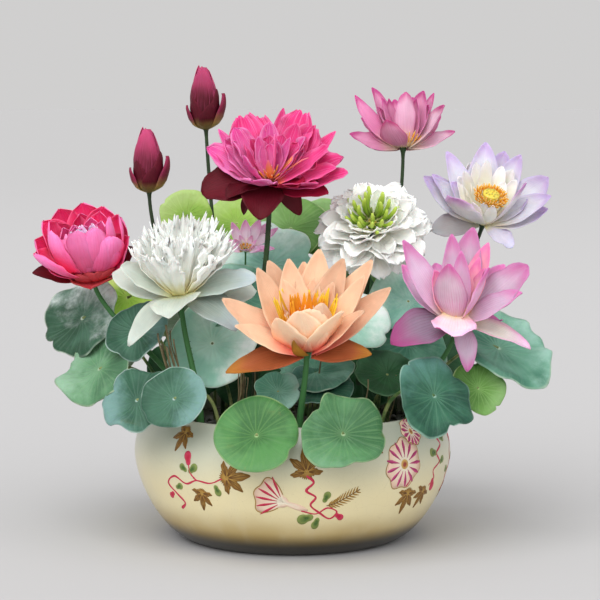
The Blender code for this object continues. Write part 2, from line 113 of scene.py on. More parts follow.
# Petals with a place of their own: tip from the head (x, y, z), width and bend. Style and tone
# follow where they aren't the head's usual ones, and so do the heading of the root, its level, a
# roll about the chord and how far the petal faces the front.
PLACED = {
    "magenta": [
        (-26, 18, 63, 34, 34), (-11, 28, 62, 28, 26), (12, 34, 68, 17, 16, "lotus", 0),
        (30, 16, 67, 34, 26), (40, 8, 54, 30, 36), (-45, 14, 50, 16, 42, "lotus", 4),
        (-55, -8, 35, 27, 34, "round", 4, {"facing": 1.3, "roll": -6}),
        (-39, 2, 42, 28, 38, "round", 4), (58, 12, 48, 20, 44, "lotus", 0),
        (65, 0, 26, 34, 32, "round", 0), (68, -14, 13, 34, 26, "blunt", 0, {"roll": -10}),
        (51, -18, 36, 24, 24, "blunt", 0), (-31, 2, 52, 26, 36, "round", 4),
        (0, 14, 56, 22, 20, "blunt", 4), (24, 4, 55, 24, 26, "blunt", 0),
        (58, -18, 17, 24, 24, "blunt", 0), (-10, -8, 44, 16, 18, "blunt", 4, {"level": 9}),
        (5, -10, 46, 15, 14, "blunt", 0, {"level": 9}),
        (18, -8, 43, 15, 20, "lotus", 4, {"level": 9}),
        (31, -14, 38, 14, 24, "lotus", 0, {"level": 9}), (-22, -26, 28, 19, 38, "blunt", 4),
        (-15, -40, 7, 34, 36, "round", 4, {"roll": 10}), (42, -30, 4, 28, 22, "lotus", 0),
        (51, -20, -5, 34, 4, "lotus", 2, {"facing": 1.8}), (25, -34, 1, 32, 22, "round", 2),
        (-59, -10, -5, 38, -20, "blunt", 1, {"facing": 2.6, "roll": -4}),
        (-8, -30, -27, 38, -34, "lotus", 1), (-37, -20, -10, 30, -26, "lotus", 1, {"facing": 2}),
        (-23, 8, -25, 18, -30, "lotus", 1), (27, 4, -25, 22, -30, "lotus", 1, {"facing": 2}),
        (30, -12, 35, 4, 10, "lotus", 3, {"level": 8}),
        (34, -20, 26, 5, 10, "lotus", 3, {"level": 8}),
        (-1, -22, 24, 6, 30, "lotus", 3, {"level": 8}),
    ],
    "rose_globe": [
        (-11, 18, 66, 42, 84, {"heading": 95}), (-31, 14, 61, 40, 82, {"heading": 130}),
        (8, 16, 63, 40, 82, {"heading": 62}), (24, 8, 54, 38, 78, {"heading": 28}),
        (-44, 2, 51, 38, 74, {"heading": 165}), (-50, -8, 35, 42, 62, {"heading": 190}),
        (32, -8, 38, 42, 66, {"heading": 350}), (-29, -28, 37, 44, 80, {"heading": 225}),
        (-4, -36, 34, 44, 86, {"heading": 255}), (19, -30, 40, 44, 82, {"heading": 300}),
        (-49, -22, 24, 46, 50, {"heading": 207, "roll": 8}),
        (10, -34, 38, 40, 84, {"heading": 280}), (-52, -8, 6, 24, 22, "lotus", 1),
        (0, -26, -6, 38, 20, "lotus", 2, {"level": 1}), (35, 6, 27, 28, 30, "lotus", 1),
        (-32, 30, 12, 30, 30, "lotus", 1),
    ],
    "white_fringed": [
        (-28, 6, 66, 24, 12), (-20, 16, 67, 24, 10), (-12, 24, 64, 24, 10), (-4, 24, 71, 25, 8),
        (2, 12, 76, 22, 6), (9, 26, 71, 25, 8), (17, 14, 70, 22, 8), (25, 8, 76, 21, 10),
        (35, 2, 67, 21, 14), (43, -4, 62, 20, 16), (49, -10, 51, 20, 20), (-43, -4, 49, 20, 20),
        (-34, -10, 58, 21, 18), (-18, -26, 54, 25, 16), (-2, -30, 59, 27, 14),
        (13, -28, 55, 25, 14), (27, -22, 49, 22, 18), (-27, -34, 41, 25, 24),
        (-10, -40, 39, 25, 26), (36, -26, 40, 21, 22),
        (-51, -8, 28, 30, 14, "blunt", 1, {"roll": 14}), (-44, -18, -39, 22, -46, "lotus", 1),
        (-8, -46, -12, 46, -16, "lotus", 1), (66, -6, 17, 34, -14, "blunt", 2, {"roll": -16}),
        (48, -24, -25, 34, -26, "lotus", 2),
    ],
    "peach": [
        (-32, 18, 77, 30, 14), (-41, 4, 72, 31, 16), (-15, 12, 79, 30, 10), (11, 26, 86, 34, 10),
        (-2, 30, 75, 30, 10), (31, 14, 79, 31, 10), (55, 10, 78, 32, 14), (48, -6, 66, 25, 14),
        (-70, -6, 47, 33, 18, "lily", 6), (-59, -20, 26, 29, 20, "lily", 6),
        (70, -4, 56, 30, 14, "lily", 6), (47, -24, 39, 28, 14, "lily", 6),
        (-6, -35, 40, 40, 44, "lily", 5, {"heading": 262}),
        (13, -28, 46, 34, 34, "lily", 5, {"heading": 284}),
        (-24, -30, 34, 36, 38, "lily", 5, {"heading": 236}),
        (30, -28, 39, 34, 34, "lily", 5, {"heading": 306}),
        (4, -31, 41, 34, 38, "blunt", 5, {"heading": 272}),
        (-67, -12, -14, 29, -2, "sepal", 1, {"facing": 1.6}),
        (54, -8, 1, 27, 4, "sepal", 1, {"facing": 1.6}),
        (-11, -26, 15, 11, 80, "lily", 2, {"heading": 262, "level": 1}),
        (-5, 40, 3, 24, 0, "sepal", 1),
    ],
    "white_pompom": [
        (-5, 22, 41, 24, 22), (29, 24, 38, 30, 24), (13, 26, 33, 22, 18), (-23, 16, 34, 24, 26),
        (39, 14, 28, 26, 24), (-36, 6, 23, 26, 26), (-41, -4, 7, 26, 20), (50, 6, 11, 26, 20),
    ],
    "blush": [
        (-45, -8, 71, 27, 16, {"roll": -20}), (-3, 12, 75, 22, 10), (16, 20, 80, 32, 22),
        (28, 8, 68, 24, 14, "lotus", 3), (4, -4, 62, 18, 12),
        (-8, -28, 53, 30, 38, {"facing": 0}), (26, -20, 49, 34, 36),
        (61, 0, 49, 38, 26, "blunt", 0), (54, -18, 28, 34, 24), (20, 2, 56, 18, 20, "lotus", 3),
        (-55, -12, -16, 44, -18, "lotus", 1, {"facing": 1.4}),
        (-6, -44, -5, 38, 40, "blunt", 2, {"heading": 260, "level": 11}), (9, -16, -39, 21, -36),
        (62, -14, -20, 26, -10, "lotus", 2),
    ],
    "lavender": [
        (-53, -4, 44, 26, 20, {"roll": -8}), (-32, 8, 66, 25, 16), (4, 16, 74, 31, 16),
        (21, 18, 66, 24, 16, "blunt", 0), (35, 12, 63, 27, 18), (59, 2, 43, 31, 20, "blunt", 0),
        (60, -12, 27, 26, 22), (37, -18, 39, 26, 40, "lotus", 2, {"heading": 318}),
        (-31, -38, 28, 34, 34, "blunt", 2, {"heading": 236, "facing": 0, "roll": 20}),
        (-1, -30, 22, 13, 30, "lotus", 3, {"heading": 262}),
        (7, -30, 20, 13, 30, "lotus", 3, {"heading": 280}),
        (-10, -28, 22, 14, 30, "blunt", 3, {"heading": 246}), (-6, 2, 57, 14, 16, "round", 3),
        (-17, -2, 49, 14, 18, "blunt", 3), (4, 2, 59, 13, 14, "round", 3),
        (18, 4, 53, 15, 18, "blunt", 3), (30, 0, 41, 14, 20, "blunt", 3),
        (-23, -8, 39, 12, 24, "blunt", 3), (-11, 12, 56, 18, 18, "blunt", 3),
        (27, 6, 50, 18, 22, "blunt", 3), (10, 14, 55, 18, 16, "blunt", 3),
        (-21, 4, 44, 16, 20, "blunt", 3), (20, 2, 39, 14, 20, "blunt", 3),
        (-46, -8, -4, 25, -8, "blunt", 4, {"roll": -4}), (25, -16, -19, 22, -10, "blunt", 1),
    ],
    "pink_cup": [
        (-49, -4, 16, 25, 26), (-44, 6, 51, 19, 22), (-28, 16, 58, 20, 12),
        (-20, -6, 49, 16, 18, "blunt", 0), (-13, 6, 48, 16, 16),
        (-16, -26, 29, 27, 62, "lotus", 1, {"heading": 252}), (2, -8, 54, 21, 24, "blunt", 0),
        (12, 2, 48, 18, 22), (19, 10, 55, 24, 18), (29, 18, 53, 14, 18),
        # Petals of tone 2 have painted light: a lighter copy of the cup's colours
        (37, -8, 42, 30, 30, "lotus", 2), (47, -6, 18, 26, 30, "lotus", 2), (-7, 24, 47, 22, 20),
        (10, 26, 49, 22, 20),
    ],
    "small_pink": [
        (-12, -2, 26, 9, 16), (0, 2, 28, 10, 12), (13, 2, 28, 11, 12), (29, -2, 21, 9, 16),
        (26, -8, 3, 8, 10), (-7, -8, 7, 9, 14), (13, -12, 2, 10, 10), (22, 6, 26, 9, 12),
    ],
}
# The style of a head's own petals, which are of its first tone
USUAL = {
    "magenta": "ruffled", "rose_globe": "globe", "white_fringed": "fringed", "peach": "lily",
    "white_pompom": "frilly", "blush": "lotus", "lavender": "lotus", "pink_cup": "lotus",
    "small_pink": "lotus",
}

# Rings of petals: count, turn, spread, length, width, rise, bend, style, tone, level, root radius.
# A spread under 360 fills only that part of the ring, with turn at its middle.
WHORLS = {
    "magenta": [
        (6, 88, 180, 54, 30, 30, 34, "ruffled", 0, 4, 5),
        (6, 90, 220, 47, 27, 48, 30, "round", 4, 6, 4),
        (5, 95, 220, 39, 22, 62, 22, "round", 0, 8, 3.5),
        (3, 90, 140, 30, 16, 76, 14, "blunt", 4, 9, 2.5),
        (3, 90, 120, 40, 28, -14, -18, "lotus", 1, 1, 5),
    ],
    "rose_globe": [
        (9, 20, 360, 57, 30, 66, 84, "globe", 0, 3, 5),
        (9, 0, 360, 46, 24, 70, 96, "globe", 3, 5, 4),
        (9, 14, 360, 41, 19, 74, 88, "round", 3, 6, 3.5),
        (10, 30, 360, 42, 13, 78, 50, "frilly", 4, 7, 3),
        (3, 90, 150, 34, 28, 6, 28, "lotus", 1, 1, 5),
        (8, 10, 360, 25, 22, 30, 76, "globe", 2, 0, 3),
    ],
    "white_fringed": [
        (7, 90, 220, 64, 22, 58, 14, "fringed", 0, 5, 5),
        (7, 10, 360, 56, 20, 70, 10, "fringed", 0, 7, 3.5),
        (5, 30, 360, 48, 16, 82, 6, "fringed", 0, 8, 2.5),
        (4, 90, 190, 58, 32, 8, 8, "blunt", 1, 2, 5),
    ],
    "peach": [
        (3, 92, 90, 66, 30, 46, 18, "lily", 0, 3, 5),
        (4, 90, 120, 58, 26, 64, 14, "lily", 0, 5, 4.5),
        (16, 90, 230, 45, 12, 66, 26, "needle", 3, 9, 8),
        (16, 90, 270, 40, 10, 78, 20, "needle", 4, 10, 6),
        (3, 90, 110, 58, 25, 2, 6, "sepal", 1, 1, 5),
    ],
    "white_pompom": [
        (8, 268, 190, 46, 27, -28, -30, "frilly", 0, 2, 6),
        (9, 10, 360, 47, 29, -8, -6, "frilly", 0, 2, 6),
        (10, 28, 360, 44, 26, 6, 12, "frilly", 0, 3, 6),
        (10, 0, 360, 40, 23, 17, 22, "frilly", 0, 4, 6.5),
        (11, 16, 360, 34, 19, 28, 28, "frilly", 0, 5, 7),
        (11, 2, 360, 27, 16, 38, 34, "frilly", 0, 6, 7.5),
        (10, 90, 220, 25, 12, 54, 30, "frilly", 0, 7, 8),
    ],
    "blush": [
        (4, 90, 150, 62, 32, 42, 22, "lotus", 0, 3, 5),
        (4, 80, 240, 46, 26, 66, 26, "lotus", 3, 5, 4),
        (3, 90, 130, 54, 28, -4, -12, "lotus", 1, 1, 5),
    ],
    "lavender": [
        (5, 90, 190, 56, 28, 26, 22, "lotus", 0, 3, 5),
        (5, 90, 180, 40, 20, 40, 30, "blunt", 0, 5, 5),
        (3, 90, 150, 46, 26, -6, -8, "blunt", 1, 1, 5),
    ],
    "pink_cup": [
        (4, 90, 150, 50, 30, 36, 34, "lotus", 0, 3, 5),
        (4, 100, 240, 42, 24, 64, 24, "lotus", 0, 5, 4),
        (3, 90, 150, 46, 28, 10, 28, "lotus", 1, 1, 5),
    ],
    "small_pink": [
        (7, 90, 250, 17, 8, 26, 20, "lotus", 0, 1, 2.5),
        (7, 12, 360, 13, 6, 52, 22, "lotus", 0, 1.5, 2),
    ],
}

# Tones of each head in hundredths, inner face then outer face: colours of root, body, tip and
# edge, the reach of the root and the tip colour, the share of the edge colour and of veins
TONES = {
    "magenta": [
        [((98, 44, 12), (86, 8, 34), (82, 4, 24), (95, 32, 60), 22, 50, 32, 75),
         ((50, 2, 8), (80, 7, 30), (84, 6, 28), (95, 42, 68), 35, 50, 40, 70)],
        [((9, 0.4, 1), (13, 0.6, 1.6), (11, 0.5, 1.2), (6, 0.3, 0.7), 30, 30, 40, 30)] * 2,
        [((30, 1, 3), (42, 1.2, 6), (34, 1, 4.5), (20, 0.6, 2), 30, 40, 40, 40)] * 2,
        [((95, 30, 3), (98, 42, 12), (95, 22, 30), (90, 20, 20), 40, 40, 20, 10)] * 2,
        [((96, 46, 36), (72, 12, 41), (74, 5, 30), (90, 46, 74), 20, 45, 45, 80)] * 2,
    ],
    "rose_globe": [
        [((80, 8, 25), (93, 6, 26), (84, 3, 17), (97, 34, 50), 30, 50, 25, 20),
         ((72, 4, 9), (96, 16, 36), (97, 24, 54), (84, 5, 20), 55, 50, 35, 30)],
        [((35, 2, 3), (28, 1.2, 2.2), (10, 0.6, 1.2), (6, 0.4, 0.8), 30, 50, 40, 30)] * 2,
        [((80, 9, 13), (62, 6, 9), (44, 3, 5), (70, 20, 12), 30, 40, 40, 30),
         ((80, 12, 14), (72, 10, 12), (60, 7, 9), (46, 5, 6), 30, 40, 30, 30)],
        [((80, 3, 14), (90, 7, 28), (93, 14, 40), (95, 26, 54), 30, 35, 25, 30),
         ((86, 6, 22), (93, 15, 40), (95, 30, 58), (96, 40, 66), 30, 40, 25, 30)],
        [((90, 25, 55), (95, 55, 86), (94, 66, 93), (97, 80, 96), 30, 40, 40, 20)] * 2,
    ],
    "white_fringed": [
        [((86, 74, 34), (94, 94, 86), (96, 97, 93), (96, 97, 93), 50, 40, 30, 30)] * 2,
        [((66, 66, 32), (64, 71, 63), (70, 76, 70), (80, 86, 74), 30, 40, 40, 40)] * 2,
        [((50, 52, 28), (40, 48, 42), (48, 56, 60), (60, 68, 62), 30, 50, 40, 45)] * 2,
    ],
    "peach": [
        [((93, 46, 16), (90, 57, 38), (84, 50, 33), (94, 68, 47), 30, 40, 30, 20),
         ((90, 18, 13), (94, 60, 43), (90, 56, 37), (98, 74, 54), 62, 40, 35, 30)],
        [((50, 12, 5), (46, 13, 4.5), (52, 22, 3), (20, 5, 2), 30, 35, 40, 35)] * 2,
        [((40, 16, 2), (55, 25, 3), (30, 14, 2), (30, 10, 2), 30, 30, 40, 30)] * 2,
        [((90, 20, 2), (96, 45, 3), (98, 66, 5), (95, 50, 5), 40, 50, 20, 10)] * 2,
        [((85, 12, 1), (95, 25, 1.5), (97, 42, 3), (95, 30, 2), 40, 50, 20, 10)] * 2,
        [((95, 50, 16), (95, 60, 38), (93, 62, 42), (98, 74, 52), 30, 40, 30, 20),
         ((92, 28, 19), (94, 58, 39), (93, 62, 43), (98, 74, 54), 50, 50, 30, 30)],
        [((92, 20, 16), (91, 55, 37), (85, 51, 34), (94, 68, 47), 56, 40, 30, 20),
         ((90, 16, 12), (92, 52, 36), (90, 56, 37), (98, 74, 54), 66, 40, 35, 30)],
    ],
    "white_pompom": [
        # Cream-yellow petal roots: the petals' own cream base, with painted warm shade in the
        # depths of the bloom
        [((88, 85, 45), (97, 97, 89), (98, 98, 95), (98, 98, 95), 45, 40, 30, 20)] * 2,
    ],
    "blush": [
        [((82, 76, 54), (72, 60, 72), (66, 18, 44), (68, 36, 60), 34, 34, 50, 50),
         ((84, 76, 54), (82, 66, 76), (66, 12, 39), (74, 30, 54), 30, 30, 50, 55)],
        [((36, 32, 30), (32, 24, 33), (50, 9, 30), (42, 14, 32), 30, 50, 40, 40),
         ((42, 36, 32), (40, 28, 38), (54, 8, 32), (40, 12, 30), 35, 50, 40, 45)],
        [((72, 66, 28), (86, 82, 72), (92, 60, 82), (80, 26, 50), 35, 45, 55, 20),
         ((60, 50, 30), (78, 44, 62), (70, 14, 42), (70, 15, 40), 30, 50, 40, 30)],
        [((95, 60, 30), (95, 52, 55), (85, 22, 48), (90, 30, 50), 50, 35, 40, 20)] * 2,
    ],
    "lavender": [
        [((90, 86, 58), (74, 74, 77), (52, 39, 66), (62, 60, 74), 50, 30, 42, 30),
         ((74, 70, 46), (72, 72, 84), (46, 24, 54), (56, 46, 68), 30, 35, 38, 20)],
        [((62, 58, 30), (66, 67, 74), (58, 57, 74), (50, 40, 55), 30, 40, 35, 15),
         ((30, 30, 20), (26, 27, 25), (36, 36, 42), (30, 20, 30), 30, 40, 40, 25)],
        [((90, 84, 56), (88, 82, 86), (62, 30, 64), (70, 50, 76), 44, 34, 30, 20),
         ((95, 92, 72), (94, 92, 94), (64, 30, 64), (80, 66, 84), 44, 32, 25, 25)],
        [((94, 84, 46), (92, 90, 74), (90, 86, 86), (96, 92, 94), 40, 30, 30, 20)] * 2,
        [((36, 38, 28), (36, 38, 34), (35, 36, 37), (30, 22, 30), 30, 30, 30, 25)] * 2,
    ],
    "pink_cup": [
        [((95, 88, 64), (82, 38, 58), (54, 6, 26), (68, 18, 42), 42, 18, 42, 55),
         ((96, 88, 68), (94, 58, 74), (54, 8, 26), (70, 24, 46), 44, 20, 42, 50)],
        [((85, 62, 56), (86, 40, 60), (56, 6, 22), (46, 7, 20), 25, 22, 50, 50)] * 2,
        # Tone 2: a lighter copy of the petal colours for the right-hand petals, painted light
        # where they lie in shade inside the cup
        [((97, 92, 70), (97, 68, 82), (60, 8, 30), (84, 34, 58), 50, 20, 36, 40)] * 2,
    ],
    "small_pink": [
        [((99, 92, 74), (99, 84, 93), (97, 40, 72), (98, 62, 86), 34, 56, 30, 10)] * 2,
    ],
    "bud": [
        [((7, 0.4, 1), (11, 0.6, 1.6), (52, 6, 17), (46, 7, 17), 80, 50, 10, 75)] * 2,
        [((34, 26, 7), (10, 0.5, 1.4), (11, 0.6, 1.8), (20, 1.5, 4), 44, 40, 25, 60)] * 2,
        [((46, 38, 9), (15, 1, 2.4), (22, 1.2, 4.5), (36, 4, 12), 52, 40, 45, 60)] * 2,
    ],
}

# Petals wrapped on a bud: heading and half width in degrees, height as a share of the bud's,
# lift off its side and flare of the tip in millimetres, tone
WRAPS = [(140, 76, 1.0, 0.2, 0, 0), (22, 76, 0.94, 0.5, 0, 0), (248, 78, 0.98, 0.8, 0, 0),
         (332, 58, 0.62, 1.3, 0.4, 1), (205, 58, 0.5, 1.2, 0.2, 1), (80, 70, 0.6, 1.2, 0.3, 1),
         (284, 46, 0.4, 1.6, 0.3, 1), (346, 46, 0.545, 1.9, 8.2, 2), (172, 44, 0.39, 1.9, 4.4, 2),
         (92, 44, 0.42, 1.8, 4, 2)]
# How full and how pointed those of each tone are
WRAP_FORMS = [(6, 0.5), (2.6, 0.62), (2.3, 0.66)]
# Shares of a bud's height and its radius there in millimetres
BUD_SHAPE = [(0, 2.4), (0.03, 5.2), (0.08, 8.4), (0.18, 11), (0.34, 12), (0.52, 11.7), (0.68, 10),
             (0.82, 7.5), (0.92, 5.3), (1, 3.3)]

# Leaves: centre of the blade, radius, tilt, heading of the tilt, foot on the soil, tone, the way
# to the side of the blade that is painted lit and palest, as seen from the front (0 right, 90 up),
# and how uneven its rim is
LEAVES = {
    "leaf_front_left": ((-29, -150, 112), 35, 52, 266, (-22, -98), "meadow", 270, 0.35),
    "leaf_front_right": ((42, -148, 113), 36, 50, 280, (32, -98), "grass", 250, 1.5),
    "leaf_left_rim": ((-98, -120, 138), 28, 60, 258, (-62, -92), "slate", 0, 0.8),
    "leaf_left_grey": ((-131, -95, 133), 31, 58, 244, (-88, -66), "slate", 215, 1.8),
    "leaf_left_low": ((-167, -45, 153), 37, 50, 230, (-104, -36), "sage", 150, 1.5),
    "leaf_left_high": ((-186, 4, 192), 41, 58, 232, (-108, -10), "mint", 84, 1.7),
    "leaf_left_mid": ((-134, -48, 186), 28, 48, 252, (-98, -22), "slate", 20, 1.0),
    "leaf_left_lime": ((-147, 16, 209), 31, 60, 250, (-98, 16), "sprout", 90, 2.4),
    "leaf_centre_left": ((-70, -25, 173), 42, 60, 262, (-52, -26), "frost", 30, 1.2),
    "leaf_centre_small": ((-12, -83, 139), 20, 46, 262, (-20, -66), "sea", 0, 1.2),
    "leaf_centre_dark": ((24, -58, 139), 30, 24, 275, (18, -50), "teal", 90, 1.2),
    "leaf_centre_right": ((50, -30, 192), 33, 58, 290, (38, -14), "frost", 60, 1.6),
    "leaf_right_teal": ((103, 14, 206), 34, 56, 282, (76, 12), "aqua", 90, 1.8),
    "leaf_right_dark": ((82, -50, 149), 29, 36, 285, (66, -38), "deep", 90, 1.2),
    "leaf_right_low": ((118, -124, 141), 36, 54, 288, (76, -82), "teal", 80, 2.0),
    "leaf_right_wide": ((179, -34, 170), 51, 34, 305, (110, -16), "sea", 60, 1.5),
    "leaf_right_under": ((158, -80, 141), 24.5, 62, 300, (104, -40), "moss", 0, 1.2),
    "leaf_back_lime": ((-98, 72, 278), 25, 68, 262, (-72, 78), "lime", 110, 1.0),
    "leaf_back_green": ((-52, 96, 270), 32, 48, 265, (-36, 84), "lime", 90, 1.0),
    "leaf_back_mid": ((26, 94, 266), 29, 60, 275, (20, 78), "moss", 90, 1.0),
    "leaf_back_teal": ((-22, 42, 235), 42, 56, 266, (-4, 40), "aqua", 110, 1.3),
    "leaf_rear_left": ((-92, 128, 176), 42, 40, 125, (-62, 88), "sage", 90, 1.0),
    "leaf_rear_right": ((92, 138, 184), 44, 38, 60, (56, 88), "sea", 90, 1.0),
    "leaf_centre_pale": ((20, -40, 150), 34, 24, 268, (14, -36), "sea", 90, 1.0),
    "leaf_back_right": ((96, 42, 226), 27, 50, 280, (72, 36), "moss", 90, 1.4),
    "leaf_back_under": ((64, 50, 226), 27, 42, 270, (54, 46), "grass", 90, 1.0),
    "leaf_back_wide": ((-2, 84, 266), 34, 52, 265, (-6, 74), "moss", 180, 1.0),
    "leaf_mid_fill": ((-54, 4, 212), 34, 48, 262, (-44, 4), "sea", 120, 1.0),
    "leaf_right_fill": ((102, 2, 170), 38, 48, 290, (84, -2), "sea", 60, 1.0),
    "leaf_inner_left": ((-96, 40, 142), 36, 54, 262, (-70, 30), "deep", 90, 1.0),
    "leaf_inner_front": ((-34, 16, 134), 36, 56, 266, (-24, 10), "deep", 90, 1.0),
    "leaf_inner_right": ((60, 34, 140), 38, 54, 275, (44, 22), "deep", 90, 1.0),
    "leaf_inner_far": ((20, 60, 186), 38, 56, 268, (12, 52), "teal", 90, 1.0),
    "leaf_inner_edge": ((124, 44, 152), 34, 50, 292, (84, 36), "deep", 90, 1.0),
    "leaf_rear_low": ((2, 122, 148), 40, 44, 92, (0, 84), "meadow", 90, 1.0),
    "leaf_rear_side": ((-150, 78, 152), 34, 46, 150, (-92, 50), "sage", 90, 1.0),
}
# Colours of a blade in hundredths: painted shade, painted light, bloom of wax that also serves as
# a painted highlight, veins, rim, underside
LEAF_TONES = {
    "moss": ((8, 20, 4), (16, 34, 8), (26, 46, 17), (28, 46, 17), (40, 56, 24), (20, 32, 9)),
    "meadow": ((3.5, 13, 3.5), (8, 24, 7), (12, 28, 11), (17, 34, 11), (30, 46, 20), (18, 30, 12)),
    "grass": ((4, 13, 5), (9, 24, 10), (16, 33, 19), (20, 36, 16), (34, 48, 26), (18, 30, 12)),
    "sage": ((6, 16, 8), (12, 28, 14), (26, 44, 30), (22, 38, 22), (36, 48, 32), (22, 32, 20)),
    "sea": ((6, 20, 13), (13, 33, 23), (32, 54, 45), (26, 46, 34), (44, 60, 46), (16, 33, 18)),
    "slate": ((2.4, 8.5, 5), (5, 14.5, 9), (17, 31, 29), (16, 30, 22), (42, 56, 50), (14, 24, 15)),
    # mint: a dark body with painted shade and a near-white bloom, a painted highlight on its lit
    # top
    "mint": ((2.4, 7.5, 4), (6, 15, 9.5), (88, 97, 95), (14, 26, 18), (62, 72, 60), (24, 38, 22)),
    "lime": ((18, 37, 4), (34, 56, 9), (50, 70, 25), (44, 60, 16), (52, 64, 24), (30, 44, 8)),
    # aqua, frost and sprout are lighter copies of leaf colours, for blades that lie in the shade
    # of the blooms: painted light
    "aqua": ((19, 44, 35), (33, 62, 51), (72, 89, 81), (40, 60, 50), (60, 76, 66), (24, 42, 28)),
    "frost": ((32, 64, 51), (54, 84, 71), (90, 99, 94), (54, 74, 60), (74, 88, 74), (26, 46, 24)),
    "sprout": ((42, 76, 9), (64, 92, 16), (86, 98, 36), (60, 78, 22), (70, 84, 34), (34, 50, 9)),
    "deep": ((1.1, 6, 1.8), (2.6, 12, 4), (5, 13, 7), (4, 11, 5), (10, 20, 10), (4, 9, 3)),
    "teal": ((1.4, 6.5, 4), (3.6, 13.5, 8), (9.5, 23, 19.5), (9, 22, 14), (26, 42, 34),
             (10, 20, 10)),
}


# Values that the panel shows

def length_value(label, value, note):
    """A length in metres, given in millimetres."""
    return FloatProperty(name=label, description=note, default=value * MM, unit="LENGTH",
                         subtype="DISTANCE", min=0, precision=4)


def colour_value(label, value, note):
    """A linear colour."""
    return FloatVectorProperty(name=label, description=note, default=value, subtype="COLOR",
                               size=3, min=0, max=1)


def count_value(label, value, note, least):
    """A whole number."""
    return IntProperty(name=label, description=note, default=value, min=least)


def share_value(label, value, note, **limits):
    """A strength or a share."""
    return FloatProperty(name=label, description=note, default=value, min=0, **limits)


class LotusBowlValues(bpy.types.PropertyGroup):
    """Sizes and colours of the bowl and what stands in it."""
    lip: length_value("Lip", 2.2, "How far the rounded lip rises above the rim")
    lift: length_value("Paint Lift", 0.16, "How far the painted sprays stand off the glaze")
    steps: count_value("Steps", 128, "Sides of the turned bowl", 24)
    # Glaze near the rim: the glaze's greyer tone, darkened with painted shade of the leaves above
    glaze_top: colour_value("Glaze Top", (0.50, 0.535, 0.44), "Glaze near the rim")
    glaze_middle: colour_value("Glaze Middle", (0.82, 0.72, 0.43), "Glaze around the belly")
    # Glaze near the foot: partly the glaze's own brown, partly painted shade of the underside
    glaze_foot: colour_value("Glaze Foot", (0.42, 0.28, 0.07), "Glaze near the foot")
    soil: colour_value("Soil", (0.020, 0.017, 0.010), "Wet soil")
    crumbs: count_value("Crumbs", 260, "Lumps of soil on the top", 0)


class LotusPetalValues(bpy.types.PropertyGroup):
    """Sizes that every petal shares."""
    rows: count_value("Rows", 18, "Faces along a petal", 6)
    columns: count_value("Columns", 10, "Faces across a petal", 4)
    thickness: length_value("Thickness", 0.5, "Thickness of a petal")
    bud: length_value("Bud", 58.5, "Height of a bud")
    root: length_value("Root", 5.0, "Radius at which the petals leave the head")
    level: length_value("Level", 4.0, "Height above the head's base at which they leave it")
    glow: share_value("Glow", 0.22, "Light carried through a petal", max=1)


class LotusLeafValues(bpy.types.PropertyGroup):
    """Sizes that every leaf shares."""
    rings: count_value("Rings", 15, "Faces from the centre of a blade to its rim", 4)
    sectors: count_value("Sectors", 84, "Faces around a blade", 16)
    thickness: length_value("Thickness", 0.7, "Thickness of a blade")
    stalk: length_value("Stalk", 1.5, "Radius of a leaf's stalk")
    flower_stalk: length_value("Flower Stalk", 2.5, "Radius of a flower's stalk")
    stalk_colour: colour_value("Stalk Colour", (0.045, 0.13, 0.024), "Stalks")
    reed_colour: colour_value("Reed Colour", (0.19, 0.15, 0.07), "Dry stems of last year")


class LotusStageValues(bpy.types.PropertyGroup):
    """Floor, light and camera."""
    # Floor colours are a painted pool of light: lighter around the bowl, darker far off where it
    # meets the background
    near: colour_value("Near Floor", (0.540, 0.536, 0.540), "Floor around the bowl")
    far: colour_value("Far Floor", (0.500, 0.497, 0.499), "Floor where it meets the background")
    spread: length_value("Floor Radius", 30000, "Radius of the floor")
    sky: share_value("Sky", 0.63, "Strength of the even light")
    lamp: share_value("Lamp", 1.6, "Strength of the wide lamp above")
    fill: share_value("Fill", 1.55, "Strength of the wide lamp in front")


# Node trees

def put(tree, socket, value):
    """Gives an input a constant, or joins it to another node's output."""
    if isinstance(value, bpy.types.Node):
        value = next(output for output in value.outputs if output.enabled)
    if isinstance(value, bpy.types.NodeSocket):
        tree.links.new(value, socket)
    elif socket.type == "RGBA" and len(value) == 3:
        socket.default_value = (*value, 1)
    else:
        socket.default_value = value


def node(tree, kind, inputs=None, **settings):
    """A new node with its settings and inputs, which are named or numbered."""
    made = tree.nodes.new(kind)
    for name, value in settings.items():
        setattr(made, name, value)
    for key, value in (inputs or {}).items():
        put(tree, made.inputs[key], value)
    return made


def calc(tree, operation, *values):
    """One step of arithmetic."""
    return node(tree, "ShaderNodeMath", dict(enumerate(values)), operation=operation)


def times(tree, value, other):
    """A product."""
    return calc(tree, "MULTIPLY", value, other)


def scaled(tree, value, factor, more):
    """A value times a factor, and something more."""
    return calc(tree, "MULTIPLY_ADD", value, factor, more)


def nudged(tree, value, reach, start):
    """The start, moved up or down by a value that lies around a half."""
    return scaled(tree, calc(tree, "SUBTRACT", value, 0.5), reach, start)


def flipped(tree, value):
    """1 where the value is 0, and 0 where it is 1."""
    return calc(tree, "SUBTRACT", 1, value)


def step(tree, value, low, high, start=0.0, end=1.0):
    """A smooth change from start to end while value goes from low to high."""
    return node(tree, "ShaderNodeMapRange", {0: value, 1: low, 2: high, 3: start, 4: end},
                interpolation_type="SMOOTHSTEP")


def blend(tree, share, first, second, kind="MIX"):
    """A mix of two colours."""
    made = node(tree, "ShaderNodeMix", {0: share, 6: first, 7: second}, data_type="RGBA",
                blend_type=kind)
    return made.outputs[2]


def noise(tree, scale, detail, vector=None, rough=0.5):
    """Noise from 0 to 1 on object coordinates, or on the vector given."""
    spot = vector or node(tree, "ShaderNodeTexCoord").outputs["Object"]
    return node(tree, "ShaderNodeTexNoise",
                {"Vector": spot, "Scale": scale, "Detail": detail, "Roughness": rough}).outputs[0]


